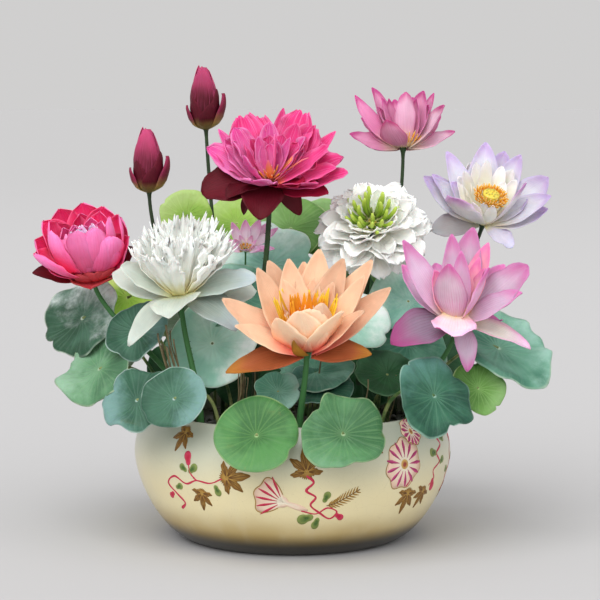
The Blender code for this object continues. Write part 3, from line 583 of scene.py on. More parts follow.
def uv_parts(tree, name):
    """The UV of this name, and its numbers."""
    uv = node(tree, "ShaderNodeUVMap", uv_map=name).outputs[0]
    return uv, node(tree, "ShaderNodeSeparateXYZ", {0: uv}).outputs


def bump(tree, height, strength, distance):
    """A surface raised by a height from 0 to 1."""
    return node(tree, "ShaderNodeBump",
                {"Height": height, "Strength": strength, "Distance": distance})


def new_group(name, kind, inputs, outputs):
    """An empty node group with named sockets; returns the tree, its input and output nodes."""
    tree = bpy.data.node_groups.new(name, kind)
    for label, socket, value in inputs:
        made = tree.interface.new_socket(name=label, in_out="INPUT", socket_type=socket)
        if value is not None:
            made.default_value = value
    for label, socket in outputs:
        tree.interface.new_socket(name=label, in_out="OUTPUT", socket_type=socket)
    return tree, tree.nodes.new("NodeGroupInput").outputs, tree.nodes.new("NodeGroupOutput").inputs


COLOUR, VALUE, NORMAL = "NodeSocketColor", "NodeSocketFloat", "NodeSocketVector"
COUNT, SHAPE = "NodeSocketInt", "NodeSocketGeometry"


def petal_group():
    """Colour and relief of a petal, from its own UV: root to tip, middle to edge, veins."""
    tree, given, made = new_group("petal_shade", "ShaderNodeTree", [
        *((label, COLOUR, None) for label in ("Root", "Body", "Tip", "Edge")),
        ("Root Reach", VALUE, 0.3), ("Tip Reach", VALUE, 0.4), ("Edge Share", VALUE, 0.4),
        ("Veins", VALUE, 0.3)], [("Color", COLOUR), ("Normal", NORMAL)])
    uv, split = uv_parts(tree, "petal")
    tone = node(tree, "ShaderNodeAttribute", attribute_name="tone").outputs["Fac"]
    across = calc(tree, "ABSOLUTE", scaled(tree, split[0], 2, -1))
    along = nudged(tree, noise(tree, 55, 3), 0.16, split[1])
    root = flipped(tree, step(tree, along, 0.02, given["Root Reach"]))
    start = flipped(tree, given["Tip Reach"])
    tip = step(tree, scaled(tree, across, 0.12, along), start, 1.02)
    edge = times(tree, step(tree, across, 0.5, 1.0), given["Edge Share"])
    own = times(tree, calc(tree, "POWER", tone, 2), 0.4)
    body = blend(tree, own, given["Body"], given["Edge"])
    colour = blend(tree, tip, body, given["Tip"])
    colour = blend(tree, edge, colour, given["Edge"])
    # A fine line of deeper colour along the margin of the upper half
    margin = times(tree, step(tree, across, 0.86, 1.0), step(tree, split[1], 0.35, 0.9))
    margin = times(tree, margin, given["Edge Share"])
    colour = blend(tree, margin, colour, given["Tip"])
    colour = blend(tree, root, colour, given["Root"])
    # Veins run from the root and spread with the petal
    wander = scaled(tree, noise(tree, 24, 1), 0.05, split[0])
    wave = calc(tree, "COSINE", times(tree, wander, FULL_TURN * PETAL_VEINS))
    vein = calc(tree, "POWER", scaled(tree, wave, 0.5, 0.5), 4)
    stretch = node(tree, "ShaderNodeVectorMath", {0: uv, 1: (46, 1.6, 1)}, operation="MULTIPLY")
    streak = noise(tree, 1, 2, stretch)
    fade = times(tree, calc(tree, "SUBTRACT", 1.05, split[1]), given["Veins"])
    line = times(tree, scaled(tree, vein, 0.6, streak), fade)
    colour = blend(tree, line, colour, blend(tree, 1, colour, given["Tip"], "MULTIPLY"))
    pale = times(tree, step(tree, streak, 0.5, 0.75), given["Veins"])
    colour = blend(tree, pale, colour, given["Edge"])
    # Each petal a little lighter or darker, with soft patches
    shade = scaled(tree, tone, 0.34, 0.80)
    shade = nudged(tree, noise(tree, 90, 3), 0.3, shade)
    grey = node(tree, "ShaderNodeCombineColor", {0: shade, 1: shade, 2: shade})
    put(tree, made["Color"], blend(tree, 1, colour, grey, "MULTIPLY"))
    relief = scaled(tree, streak, 0.6, times(tree, vein, 0.5))
    put(tree, made["Normal"], bump(tree, relief, 0.35, 0.0006))


def leaf_group():
    """Colour and relief of a round blade, from its own UV: forking veins, waxy bloom that is also
    a painted highlight, painted light and shade, pale rim.
    """
    tree, given, made = new_group("leaf_shade", "ShaderNodeTree", [
        *((label, COLOUR, None) for label in ("Shade", "Light", "Bloom", "Vein", "Rim")),
        ("Dryness", VALUE, 0.2)],
        [("Color", COLOUR), ("Roughness", VALUE), ("Normal", NORMAL)])
    uv = node(tree, "ShaderNodeUVMap", uv_map="blade").outputs[0]
    split = node(tree, "ShaderNodeSeparateXYZ",
                 {0: node(tree, "ShaderNodeVectorMath", {0: uv, 1: (-0.5, -0.5, 0)})}).outputs
    squares = [times(tree, split[axis], split[axis]) for axis in (0, 1)]
    reach = times(tree, 2, calc(tree, "SQRT", calc(tree, "ADD", *squares)))
    turn = calc(tree, "ARCTAN2", split[1], split[0])
    turn = scaled(tree, times(tree, noise(tree, 45, 1), reach), 0.22, turn)

    def spokes(count, turned, width):
        """Lines from the centre, of an even width."""
        share = calc(tree, "FRACT", scaled(tree, turn, count / FULL_TURN, turned))
        gap = calc(tree, "ABSOLUTE", calc(tree, "SUBTRACT", share, 0.5))
        away = times(tree, gap, times(tree, reach, FULL_TURN / count))
        return flipped(tree, step(tree, away, 0, width))

    main = spokes(LEAF_VEINS, 0.5, 0.030)
    forked = times(tree, spokes(2 * LEAF_VEINS, 0.25, 0.022), step(tree, reach, 0.42, 0.6))
    cells = node(tree, "ShaderNodeTexVoronoi", {"Vector": uv, "Scale": 34},
                 feature="DISTANCE_TO_EDGE").outputs[0]
    net = times(tree, flipped(tree, step(tree, cells, 0.0, 0.12)), 0.28)
    veins = calc(tree, "MAXIMUM", calc(tree, "MAXIMUM", main, times(tree, forked, 0.8)), net)
    veins = times(tree, veins, flipped(tree, step(tree, reach, 0.9, 1.0, 0, 0.6)))
    # The tone attribute runs from -1 on a blade's painted shaded side to 1 on its painted lit side
    lit = node(tree, "ShaderNodeAttribute", attribute_name="tone").outputs["Fac"]
    # Shade and Light colours mix in soft patches and are pushed towards Light on the painted lit
    # side
    light = scaled(tree, lit, 0.2, noise(tree, 38, 4))
    colour = blend(tree, step(tree, light, 0.34, 0.66), given["Shade"], given["Light"])
    # Waxy bloom, laid mostly on the painted lit side: the leaf's own wax and a painted highlight
    bloom = times(tree, step(tree, reach, 0.1, 0.9, 0.5, 1.0), step(
        tree, scaled(tree, lit, 0.42, noise(tree, 26, 5, rough=0.66)), 0.46, 0.84))
    colour = blend(tree, bloom, colour, given["Bloom"])
    faint = step(tree, noise(tree, 30, 2), 0.35, 0.65, 0.08, 0.34)
    colour = blend(tree, times(tree, veins, faint), colour, given["Vein"])
    colour = blend(tree, step(tree, reach, 0.07, 0.02), colour, given["Rim"])
    rim = times(tree, step(tree, reach, 0.95, 0.998),
                step(tree, noise(tree, 50, 2), 0.4, 0.6, 0.2, 1))
    colour = blend(tree, rim, colour, given["Rim"])
    dry = times(tree, step(tree, noise(tree, 30, 4, rough=0.7), 0.62, 0.72),
                times(tree, step(tree, reach, 0.55, 1.0), given["Dryness"]))
    colour = blend(tree, dry, colour, (0.30, 0.17, 0.06))
    put(tree, made["Color"], colour)
    put(tree, made["Roughness"], scaled(tree, bloom, 0.16, 0.42))
    relief = scaled(tree, noise(tree, 300, 2), 0.25, veins)
    put(tree, made["Normal"], bump(tree, relief, 0.35, 0.0005))


def new_material(name, settings):
    """A material with a Principled shader; returns it, its tree and the shader."""
    material = bpy.data.materials.new(name)
    material.use_nodes = True
    tree = material.node_tree
    shader = next(item for item in tree.nodes if item.type == "BSDF_PRINCIPLED")
    for label, value in settings.items():
        shader.inputs[label].default_value = value
    return material, tree, shader


def join(tree, shader, **outputs):
    """Joins outputs to a shader's inputs; an underscore in a name stands for a space."""
    for label, output in outputs.items():
        put(tree, shader.inputs[label.replace("_", " ")], output)


def join_group(tree, shader, name, values):
    """Joins a shared group, with values of its own, to a shader."""
    shade = node(tree, "ShaderNodeGroup", node_tree=bpy.data.node_groups[name])
    for socket, value in zip(shade.inputs, values):
        put(tree, socket, value)
    for output in shade.outputs:
        put(tree, shader.inputs["Base Color" if output.name == "Color" else output.name], output)


def toned(colour, share):
    """A colour made darker or lighter."""
    return tuple(c * share for c in colour)


def petal_material(name, tone, glow):
    """One face of the petals of one tone."""
    material, tree, shader = new_material(name, {
        "Roughness": 0.55, "Specular IOR Level": 0.16, "Subsurface Weight": glow,
        "Subsurface Radius": (1.0, 0.55, 0.45), "Subsurface Scale": 0.002})
    colours = [tuple(c / 100 for c in colour) for colour in tone[:4]]
    join_group(tree, shader, "petal_shade", colours + [share / 100 for share in tone[4:]])
    return material


def leaf_material(tone, dryness, under=False):
    """The upper or lower face of the blades of one tone."""
    colours = [tuple(c / 100 for c in colour) for colour in LEAF_TONES[tone]]
    below = colours.pop()
    if under:
        colours[:3] = [toned(below, share) for share in (0.75, 1.0, 1.15)]
    _, tree, shader = new_material(f"leaf_{tone}" + ("_under" if under else ""), {
        "Specular IOR Level": 0.2, "Subsurface Weight": 0.1,
        "Subsurface Radius": (0.5, 1.0, 0.3), "Subsurface Scale": 0.002})
    join_group(tree, shader, "leaf_shade", [*colours, dryness])


def mottled_material(name, first, second, scale, settings=None, relief=0.3, distance=0.0005):
    """Two colours in soft patches with a grainy surface."""
    material, tree, shader = new_material(name, {"Roughness": 0.55, **(settings or {})})
    patches = noise(tree, scale, 4, rough=0.6)
    grain = noise(tree, scale * 5, 2)
    join(tree, shader, Base_Color=blend(tree, step(tree, patches, 0.35, 0.65), first, second),
         Normal=bump(tree, grain, relief, distance))
    return material


def glaze_material(values):
    """Straw glaze: greyer near the rim, browner near the foot, both partly painted shade; faintly
    streaked and crackled.
    """
    material, tree, shader = new_material("glaze", {
        "Roughness": 0.32, "Specular IOR Level": 0.42, "Coat Weight": 0.35,
        "Coat Roughness": 0.18})
    spot = node(tree, "ShaderNodeTexCoord").outputs["Object"]
    low = node(tree, "ShaderNodeSeparateXYZ", {0: spot}).outputs[2]
    height = nudged(tree, noise(tree, 14, 3), 0.02, low)
    stretch = node(tree, "ShaderNodeVectorMath", {0: spot, 1: (60, 60, 9)}, operation="MULTIPLY")
    streak = noise(tree, 1, 3, stretch)
    # Browner towards the foot: partly the glaze's own colour, partly painted shade of the
    # underside turning from the light
    colour = blend(tree, step(tree, height, 0.010, 0.046), values.glaze_foot, values.glaze_middle)
    # Greyer towards the rim: partly the glaze's tone, partly painted shade of the leaves hanging
    # over it
    colour = blend(tree, step(tree, height, 0.05, 0.108), colour, values.glaze_top)
    colour = blend(tree, step(tree, streak, 0.45, 0.75, 0, 0.14), colour, (0.70, 0.66, 0.50))
    specks = node(tree, "ShaderNodeTexVoronoi", {"Vector": spot, "Scale": 260}).outputs[0]
    colour = blend(tree, step(tree, specks, 0.12, 0.05, 0, 0.25), colour, (0.36, 0.27, 0.13))
    cells = node(tree, "ShaderNodeTexVoronoi", {"Vector": spot, "Scale": 95},
                 feature="DISTANCE_TO_EDGE").outputs[0]
    colour = blend(tree, step(tree, cells, 0.02, 0.0, 0, 0.10), colour, (0.4, 0.32, 0.2))
    # Near-black at the very bottom: the dark foot, with a painted shadow where the bowl stands
    colour = blend(tree, step(tree, low, 0.025, 0.008), colour, (0.024, 0.020, 0.010))
    join(tree, shader, Base_Color=colour, Normal=bump(tree, noise(tree, 45, 3), 0.12, 0.0008))
    return material


def paint_material(name, inner, outer):
    """Enamel on the glaze, from one colour at a stroke's middle or root to another at its edge."""
    material, tree, shader = new_material(name, {"Roughness": 0.45, "Specular IOR Level": 0.3})
    _, split = uv_parts(tree, "stroke")
    patches = nudged(tree, noise(tree, 160, 3), 0.7, split[1])
    join(tree, shader, Base_Color=blend(tree, step(tree, patches, 0.15, 0.9), inner, outer))
    return material


# Meshes

class Sheets:
    """Gathers the faces of many sheets in one mesh, with a UV, a tone and a material each."""

    def __init__(self):
        self.spots, self.faces, self.maps, self.tones, self.slots = [], [], [], [], []
        self.count = 0

    def add(self, spots, faces, maps, tone, slot):
        """One patch: points, faces that number them, and a UV for each point."""
        self.spots.append(np.asarray(spots, float).reshape(-1, 3))
        self.maps.append(np.asarray(maps, float).reshape(-1, 2))
        self.faces.extend(tuple(corner + self.count for corner in face) for face in faces)
        self.slots.extend([slot] * len(faces))
        self.tones.extend(np.broadcast_to(np.ravel(tone), len(self.spots[-1])))
        self.count += len(self.spots[-1])

    def add_grid(self, grid, maps=None, tone=0.5, slot=0, closed=False):
        """A patch of rows and columns; a closed one joins its last column to its first."""
        rows, columns = grid.shape[:2]
        maps = grid_map(rows, columns) if maps is None else maps
        self.add(grid, grid_faces(rows, columns, closed), maps, tone, slot)

    def add_fan(self, ring, middle, maps, order=1, tone=0.5, slot=0):
        """Closes a ring with triangles that meet in its middle."""
        fan = [(0, 1 + (c + 1) % len(ring), 1 + c)[::order] for c in range(len(ring))]
        maps = np.broadcast_to(maps, (len(ring) + 1, 2))
        self.add(np.concatenate([np.reshape(middle, (1, 3)), ring]), fan, maps, tone, slot)

    def mesh(self, name, uv_name, materials):
        """The finished mesh."""
        spots = np.concatenate(self.spots)
        mesh = bpy.data.meshes.new(name)
        mesh.from_pydata(spots.tolist(), [], self.faces)
        layer = mesh.uv_layers.new(name=uv_name)
        corners = np.zeros(len(mesh.loops), int)
        mesh.loops.foreach_get("vertex_index", corners)
        layer.data.foreach_set("uv", np.concatenate(self.maps)[corners].ravel())
        tone = mesh.attributes.new("tone", "FLOAT", "POINT")
        tone.data.foreach_set("value", np.array(self.tones, np.float32))
        for material in materials:
            mesh.materials.append(material)
        mesh.polygons.foreach_set("material_index", np.array(self.slots, np.int32))
        mesh.polygons.foreach_set("use_smooth", np.ones(len(self.faces), bool))
        mesh.update()
        return mesh


def grid_faces(rows, columns, closed):
    """The faces between the points of a grid."""
    wide = columns if closed else columns - 1
    return [(r * columns + c, (r + 1) * columns + c, (r + 1) * columns + (c + 1) % columns,
             r * columns + (c + 1) % columns) for r in range(rows - 1) for c in range(wide)]


def grid_map(rows, columns):
    """UV of a grid: u across its columns, v along its rows."""
    u, v = np.meshgrid(np.linspace(0, 1, columns), np.linspace(0, 1, rows))
    return np.stack([u, v], -1)


def headings(count):
    """Angles all the way round."""
    return np.linspace(0, FULL_TURN, count, endpoint=False)


def ease(value, low, high):
    """A smooth step from 0 at low to 1 at high."""
    share = np.clip((value - low) / (high - low), 0, 1)
    return share * share * (3 - 2 * share)


def show(mesh):
    """A new object in the scene, with its mesh's name."""
    item = bpy.data.objects.new(mesh.name, mesh)
    bpy.context.scene.collection.objects.link(item)
    return item


def solid(name):
    """The part's node of this name, if it has one."""
    return [name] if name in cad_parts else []


def settle(item, slot, *nodes):
    """Puts a finished piece on the model's body, in place of the nodes named."""
    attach(item, "root")
    if nodes:
        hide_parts(*nodes)
    return item


def thicken(item, thickness, shift=0):
    """Live thickness, half on each side; shift leads from a face's material to its back's."""
    skin = item.modifiers.new("Thickness", "SOLIDIFY")
    skin.thickness = thickness
    skin.offset = 0
    skin.material_offset = shift


def tube(route, radii, sides):
    """Rings of points around a route, as a grid closed around; a radius of 0 closes an end."""
    route = np.asarray(route, float)
    along = np.gradient(route, axis=0)
    along /= np.linalg.norm(along, axis=1)[:, None]
    side = np.cross(along[0], (0.31, 0.94, 0.13))
    turns = headings(sides)
    rings = []
    for spot, way, radius in zip(route, along, np.broadcast_to(radii, len(route))):
        side = side - way * side.dot(way)
        side /= np.linalg.norm(side)
        other = np.cross(way, side)
        rings.append(spot + radius * (np.cos(turns)[:, None] * side
                                      - np.sin(turns)[:, None] * other))
    return np.array(rings)


def capped(sheets, rings, tone=0.5, slot=0):
    """Adds a closed tube whose two ends are drawn to a point."""
    sheets.add_grid(rings, None, tone, slot, closed=True)
    sheets.add_fan(rings[0], rings[0].mean(0), 0, 1, tone, slot)
    sheets.add_fan(rings[-1], rings[-1].mean(0), 1, -1, tone, slot)


def weld(mesh):
    """Joins the points that lie on each other."""
    shape = bmesh.new()
    shape.from_mesh(mesh)
    bmesh.ops.remove_doubles(shape, verts=shape.verts, dist=1e-6)
    bmesh.ops.recalc_face_normals(shape, faces=shape.faces)
    shape.to_mesh(mesh)
    shape.free()
    return mesh


def bend(start, rise, leave, end, count):
    """Points on a smooth bend, steered by the two points between its ends."""
    t = np.linspace(0, 1, count)[:, None]
    start, rise, leave, end = (np.asarray(spot, float) for spot in (start, rise, leave, end))
    return (start * (1 - t) ** 3 + rise * 3 * t * (1 - t) ** 2 + leave * 3 * t * t * (1 - t)
            + end * t ** 3)


def sway(route, reach, rng):
    """A route that wanders a little from its own line, not at its ends."""
    t = np.linspace(0, 1, len(route))
    hold = np.sin(pi * t) ** 0.7
    for axis in (0, 1):
        phase, waves = rng.uniform(0, 6.3), rng.uniform(1.2, 2.4)
        route[:, axis] += reach * hold * np.sin(waves * 2 * pi * t + phase)
    return route


# Petals

# How unruly the petals of a head are, where they are more so than the others'
WILD = {"white_fringed": 2.6, "white_pompom": 2.0, "magenta": 1.8}


def petal_grid(form, root, tip, out, axis, width, curve, rng, roll, values, facing):
    """The sheet of one petal, its face towards the axis: rows from root to tip, columns across.

    Facing turns a petal at the side of its head towards the front, as growing petals seek light.
    """
    rows, columns = values.rows, values.columns
    shape = {**PLAIN, **STYLES[form]}
    if shape["teeth"]:
        rows, columns = rows + 6, columns * 2
    chord = tip - root
    length = chord.length
    along = chord / length
    lift = asin(max(-1.0, min(1.0, along.dot(axis))))
    inner = axis * cos(lift) - out * sin(lift)
    inner = (inner - along * inner.dot(along)).normalized()
    if facing:
        aside = max(0.0, min(1.0, 1 + 1.5 * out.y)) * facing
        inner += aside * Vector((0, -1, 0.2))
        inner = (inner - along * inner.dot(along)).normalized()
    inner.rotate(Matrix.Rotation(radians(roll), 3, along))
    side = inner.cross(along)

    # The middle line, bent in the plane of along and inner, and laid on the chord
    fine = np.linspace(0, 1, 61)
    hook = radians(rng.uniform(-16, 10)) * ease(fine, 0.7, 1.0)
    turn = radians(curve) * (fine - 0.5) + hook
    between = (turn[1:] + turn[:-1]) / 2
    x = np.concatenate([[0], np.cumsum(np.cos(between))]) / 60
    y = np.concatenate([[0], np.cumsum(np.sin(between))]) / 60
    tilt, scale = atan2(y[-1], x[-1]), 1 / hypot(x[-1], y[-1])
    x, y = ((x * cos(tilt) + y * sin(tilt)) * scale,
            (y * cos(tilt) - x * sin(tilt)) * scale)
    turn = turn - tilt

    s, u = np.meshgrid(np.linspace(0, 1, rows + 1), np.linspace(-1, 1, columns + 1), indexing="ij")
    phase = rng.uniform(0, 6.28, 6)
    uneven = 0.5 + 0.25 * np.sin(5.3 * u + phase[0]) + 0.25 * np.sin(11 * u + phase[1])
    short = shape["notch"] * uneven
    if shape["teeth"]:
        short = short + shape["tooth"] * (1 - np.abs(np.cos(shape["teeth"] * pi * u / 2
                                                           + phase[2])) ** 1.5)
    reach = s * (1 - short * s ** 3)
    px, py, pt = (np.interp(reach, fine, line) for line in (x, y, turn))

    swell = shape["neck"] + (1 - shape["neck"]) * np.sin(
        pi / 2 * np.minimum(s / shape["peak"], 1)) ** 1.3
    close = s * (1 - shape["end"] ** (1 / shape["point"])) ** (1 / shape["full"])
    half = swell * (1 - close ** shape["full"]) ** shape["point"]
    cup = shape["cup"] * (0.5 + 0.65 * s) * rng.uniform(0.8, 1.25)
    half *= width / 2 / half.max()
    if shape["cup"] < 1:
        half *= cup / np.sin(cup)
    across = half / cup * np.sin(cup * u)
    dish = half / cup * (1 - np.cos(cup * u))
    dish -= 0.022 * width * np.exp(-(u / 0.16) ** 2) * ease(s, 0, 0.3)
    dish += width * shape["fold"] * s * np.cos(2.6 * pi * u + phase[3])
    edge = np.abs(u) ** 2.2 * ease(s, 0.1, 0.75)
    dish += width * shape["ruffle"] * edge * (np.sin(17 * s + phase[4] + 1.3 * np.sign(u))
                                              + 0.5 * np.sin(31 * s + phase[5]))
    sideways = width * rng.uniform(-0.05, 0.05) * np.sin(pi * s) + across
    twist = radians(rng.uniform(-7, 7)) * s
    sideways, dish = (sideways * np.cos(twist) - dish * np.sin(twist),
                      sideways * np.sin(twist) + dish * np.cos(twist))
    ahead = length * px - dish * np.sin(pt)
    above = length * py + dish * np.cos(pt)
    return (np.array(root) + ahead[..., None] * np.array(along)
            + above[..., None] * np.array(inner) + sideways[..., None] * np.array(side))


def head_frame(name):
    """Base and rotation of a head; its axis is the rotation's third column."""
    base, lean = HEADS[name][:2]
    return Vector(base) * MM, Euler((radians(lean[0]), radians(lean[1]), 0)).to_matrix()


def head_matrix(name, lift=0.0):
    """The way from a head's own axes, lifted by millimetres along its axis, to the model's."""
    base, turn = head_frame(name)
    return Matrix.Translation(base) @ turn.to_4x4() @ Matrix.Translation((0, 0, lift * MM))


def flat_way(vector, axis):
    """The unit vector nearest to this one that is square to the axis."""
    return (vector - axis * vector.dot(axis)).normalized()


def add_placed(sheets, name, values, rng):
    """Petals that have a place of their own."""
    base, turn = head_frame(name)
    axis, loose = turn.col[2], WILD.get(name, 1)
    for dx, dy, dz, width, curve, *rest in PLACED[name]:
        extra = rest.pop() if rest and isinstance(rest[-1], dict) else {}
        form, tone = rest or (USUAL[name], 0)
        tip = base + Vector((dx, dy, dz)) * MM
        if "heading" in extra:
            way = radians(extra["heading"])
            out = flat_way(Vector((cos(way), sin(way), 0)), axis)
        else:
            out = flat_way(tip - base, axis)
        level = extra.get("level", values.level / MM) * MM
        reach = values.root * (1 if level < 8 * MM else 0.6)
        root = base + axis * level + out * reach
        roll = extra.get("roll", 0) + rng.uniform(-6, 6) * loose
        grid = petal_grid(form, root, tip, out, axis, width * MM, curve, rng, roll, values,
                          extra.get("facing", 0.9))
        sheets.add_grid(grid, None, rng.uniform(0, 1), tone)


def add_whorl(sheets, name, ring, values, rng):
    """A ring of petals made by rule, each a little different."""
    count, start, spread, length, width, rise, curve, form, tone, level, reach = ring
    base, turn = head_frame(name)
    axis, loose = turn.col[2], WILD.get(name, 1)
    gap, before = spread / count, 0 if spread == 360 else (count - 1) / 2
    for number in range(count):
        heading = radians(start + (number - before) * gap + rng.uniform(-0.16, 0.16) * gap)
        out = turn @ Vector((cos(heading), sin(heading), 0))
        lift = radians(rise + rng.uniform(-4, 4) * loose)
        root = base + axis * level * MM + out * reach * MM
        tip = root + (out * cos(lift) + axis * sin(lift)) * (
            length * MM * rng.uniform(0.93, 1.05))
        grid = petal_grid(form, root, tip, out, axis, width * MM * rng.uniform(0.92, 1.08), curve,
                          rng, rng.uniform(-8, 8) * loose, values, 0.35)
        sheets.add_grid(grid, None, rng.uniform(0, 1), tone)


def build_petals(name, values):
    """All petals of one head as one piece."""
    rng = np.random.default_rng(sum(ord(letter) for letter in name))
    sheets = Sheets()
    add_placed(sheets, name, values, rng)
    for ring in WHORLS[name]:
        add_whorl(sheets, name, ring, values, rng)
    tones = TONES[name]
    materials = [petal_material(f"{name}_{side}_{number}", tone[face], values.glow)
                 for face, side in enumerate(("inner", "outer"))
                 for number, tone in enumerate(tones)]
    item = show(sheets.mesh(name + "_bloom", "petal", materials))
    thicken(item, values.thickness, len(tones))
    parts = ("petals",) if name == "small_pink" else ("outer_petals", "inner_petals")
    return settle(item, name + "_petals", *(f"{name}_{part}" for part in parts))


# Geometry trees: crowns, prickles and crumbs

def new_grower(name, inputs):
    """An empty group that takes a shape, some values and a material, and gives a shape."""
    return new_group(name, "GeometryNodeTree", [
        ("Geometry", SHAPE, None), *inputs, ("Material", "NodeSocketMaterial", None)],
        [("Geometry", SHAPE)])


def scattered(tree, given, density):
    """Points spread evenly over the given shape."""
    return node(tree, "GeometryNodeDistributePointsOnFaces", {
        "Mesh": given["Geometry"], "Density": given[density], "Seed": given["Seed"]}).outputs


def chance(tree, seed, inputs=None, kind="FLOAT"):
    """A random number for each copy, or a vector."""
    made = node(tree, "FunctionNodeRandomValue", {**(inputs or {}), "Seed": seed}, data_type=kind)
    return made.outputs[1 if kind == "FLOAT" else 0]


def copied(tree, points, shape, turn, size):
    """A copy of the shape on each point."""
    return node(tree, "GeometryNodeInstanceOnPoints", {
        "Points": points, "Instance": shape, "Rotation": turn, "Scale": size})


def end_tree(tree, given, made, copies, ground=False):
    """Ends a tree with real copies, on the ground given if it is to stay, and their material."""
    made_real = node(tree, "GeometryNodeRealizeInstances", {0: copies})
    if ground:
        both = node(tree, "GeometryNodeJoinGeometry")
        for part in (made_real.outputs[0], given["Geometry"]):
            tree.links.new(part, both.inputs[0])
        made_real = both
    put(tree, made[0], node(tree, "GeometryNodeSetMaterial",
                            {0: made_real, "Material": given["Material"]}))


def crown_tree():
    """Copies of the given shape in the order of a seed head, leaning outwards from the middle."""
    tree, given, made = new_grower("crown", [
        ("Count", COUNT, 60), ("Inner Radius", VALUE, 0.002), ("Outer Radius", VALUE, 0.008),
        ("Inner Lean", VALUE, 0.1), ("Outer Lean", VALUE, 0.9), ("Drop", VALUE, 0.0),
        ("Variation", VALUE, 0.15), ("Seed", COUNT, 1)])
    index = node(tree, "GeometryNodeInputIndex")
    share = calc(tree, "DIVIDE", index, given["Count"])
    root = calc(tree, "SQRT", share)

    def between(low, high):
        return scaled(tree, root, calc(tree, "SUBTRACT", given[high], given[low]), given[low])

    radius = between("Inner Radius", "Outer Radius")
    turn = times(tree, index, GOLDEN_TURN)
    place = node(tree, "ShaderNodeCombineXYZ", {
        0: times(tree, radius, calc(tree, "COSINE", turn)),
        1: times(tree, radius, calc(tree, "SINE", turn)),
        2: times(tree, share, times(tree, given["Drop"], -1))})
    points = node(tree, "GeometryNodePoints", {"Count": given["Count"], "Position": place})
    wobble = scaled(tree, chance(tree, given["Seed"]), 0.3, -0.15)
    angle = node(tree, "ShaderNodeCombineXYZ", {
        0: wobble, 1: calc(tree, "ADD", between("Inner Lean", "Outer Lean"), wobble), 2: turn})
    size = nudged(tree, chance(tree, calc(tree, "ADD", given["Seed"], 7)),
                  times(tree, given["Variation"], 2), 1)
    end_tree(tree, given, made, copied(tree, points, given["Geometry"], angle, size))


def prickle_tree():
    """Small prickles all over the given stalk."""
    tree, given, made = new_grower("prickles", [
        ("Density", VALUE, 9000.0), ("Size", VALUE, 0.0009), ("Seed", COUNT, 1)])
    spread = scattered(tree, given, "Density")
    cone = node(tree, "GeometryNodeMeshCone", {
        "Vertices": 5, "Radius Top": 0.06, "Radius Bottom": 0.42, "Depth": 1.0})
    end_tree(tree, given, made, copied(tree, spread["Points"], cone.outputs["Mesh"],
                                       spread["Rotation"], given["Size"]), True)


def crumb_tree():
    """Lumps scattered over the given ground, sunk a little into it."""
    tree, given, made = new_grower("crumbs", [
        ("Count", VALUE, 4000.0), ("Small", VALUE, 0.001), ("Large", VALUE, 0.0035),
        ("Seed", COUNT, 3)])
    spread = scattered(tree, given, "Count")
    lump = node(tree, "GeometryNodeMeshIcoSphere", {"Radius": 1.0, "Subdivisions": 2})
    dents = node(tree, "ShaderNodeTexNoise", {"Scale": 1.3, "Detail": 1.0}).outputs[1]
    rough = node(tree, "GeometryNodeSetPosition", {
        "Geometry": lump.outputs["Mesh"], "Offset": node(
            tree, "ShaderNodeVectorMath", {0: dents, 1: (0.5, 0.5, 0.8)}, operation="SUBTRACT")})
    size = chance(tree, given["Seed"], {2: given["Small"], 3: given["Large"]})
    turned = chance(tree, given["Seed"], {1: (6.2, 6.2, 6.2)}, "FLOAT_VECTOR")
    end_tree(tree, given, made, copied(tree, spread["Points"], rough, turned, size), True)


def grow(item, tree_name, **values):
    """Runs a geometry tree on an object and keeps the result as its plain mesh."""
    tree = bpy.data.node_groups[tree_name]
    grower = item.modifiers.new("Growth", "NODES")
    grower.node_group = tree
    for socket in tree.interface.items_tree:
        if socket.in_out == "INPUT" and socket.name.replace(" ", "_") in values:
            grower[socket.identifier] = values[socket.name.replace(" ", "_")]
    bpy.context.view_layer.update()
    ready = item.evaluated_get(bpy.context.evaluated_depsgraph_get())
    mesh = bpy.data.meshes.new_from_object(ready)
    item.modifiers.clear()
    item.data = mesh
    mesh.polygons.foreach_set("use_smooth", np.ones(len(mesh.polygons), bool))


# Bowl

def bowl_radius(height):
    """Outer radius of the bowl at a height, both in millimetres."""
    if height >= BOWL["belly_height"]:
        share = (height - BOWL["belly_height"]) / (BOWL["height"] - BOWL["belly_height"])
        return BOWL["belly"] - (BOWL["belly"] - BOWL["rim"]) * share ** BOWL["shoulder"]
    share = height / BOWL["belly_height"]
    bulge = (1 - (1 - share) ** BOWL["flank"]) ** (1 / BOWL["flank"])
    return BOWL["foot"] + (BOWL["belly"] - BOWL["foot"]) * bulge


def lathe(profile, steps):
    """Rings of points turned about the vertical axis, in metres, as a grid closed around."""
    turns = headings(steps)
    profile = np.array(profile, float) * MM
    return np.stack([profile[:, :1] * np.cos(turns), profile[:, :1] * np.sin(turns),
                     np.repeat(profile[:, 1:], steps, axis=1)], -1)


def turned_mesh(name, profile, steps, materials, uv_name="turned"):
    """A closed turned form; its profile runs from the bottom's middle round to the top's."""
    sheets = Sheets()
    rings = lathe([(radius, height) for radius, height in profile if radius > 0], steps)
    sheets.add_grid(rings[:, ::-1], closed=True)
    sheets.add_fan(rings[0], (0, 0, profile[0][1] * MM), 0.5)
    sheets.add_fan(rings[-1], (0, 0, profile[-1][1] * MM), 0.5, -1)
    return weld(sheets.mesh(name, uv_name, materials))


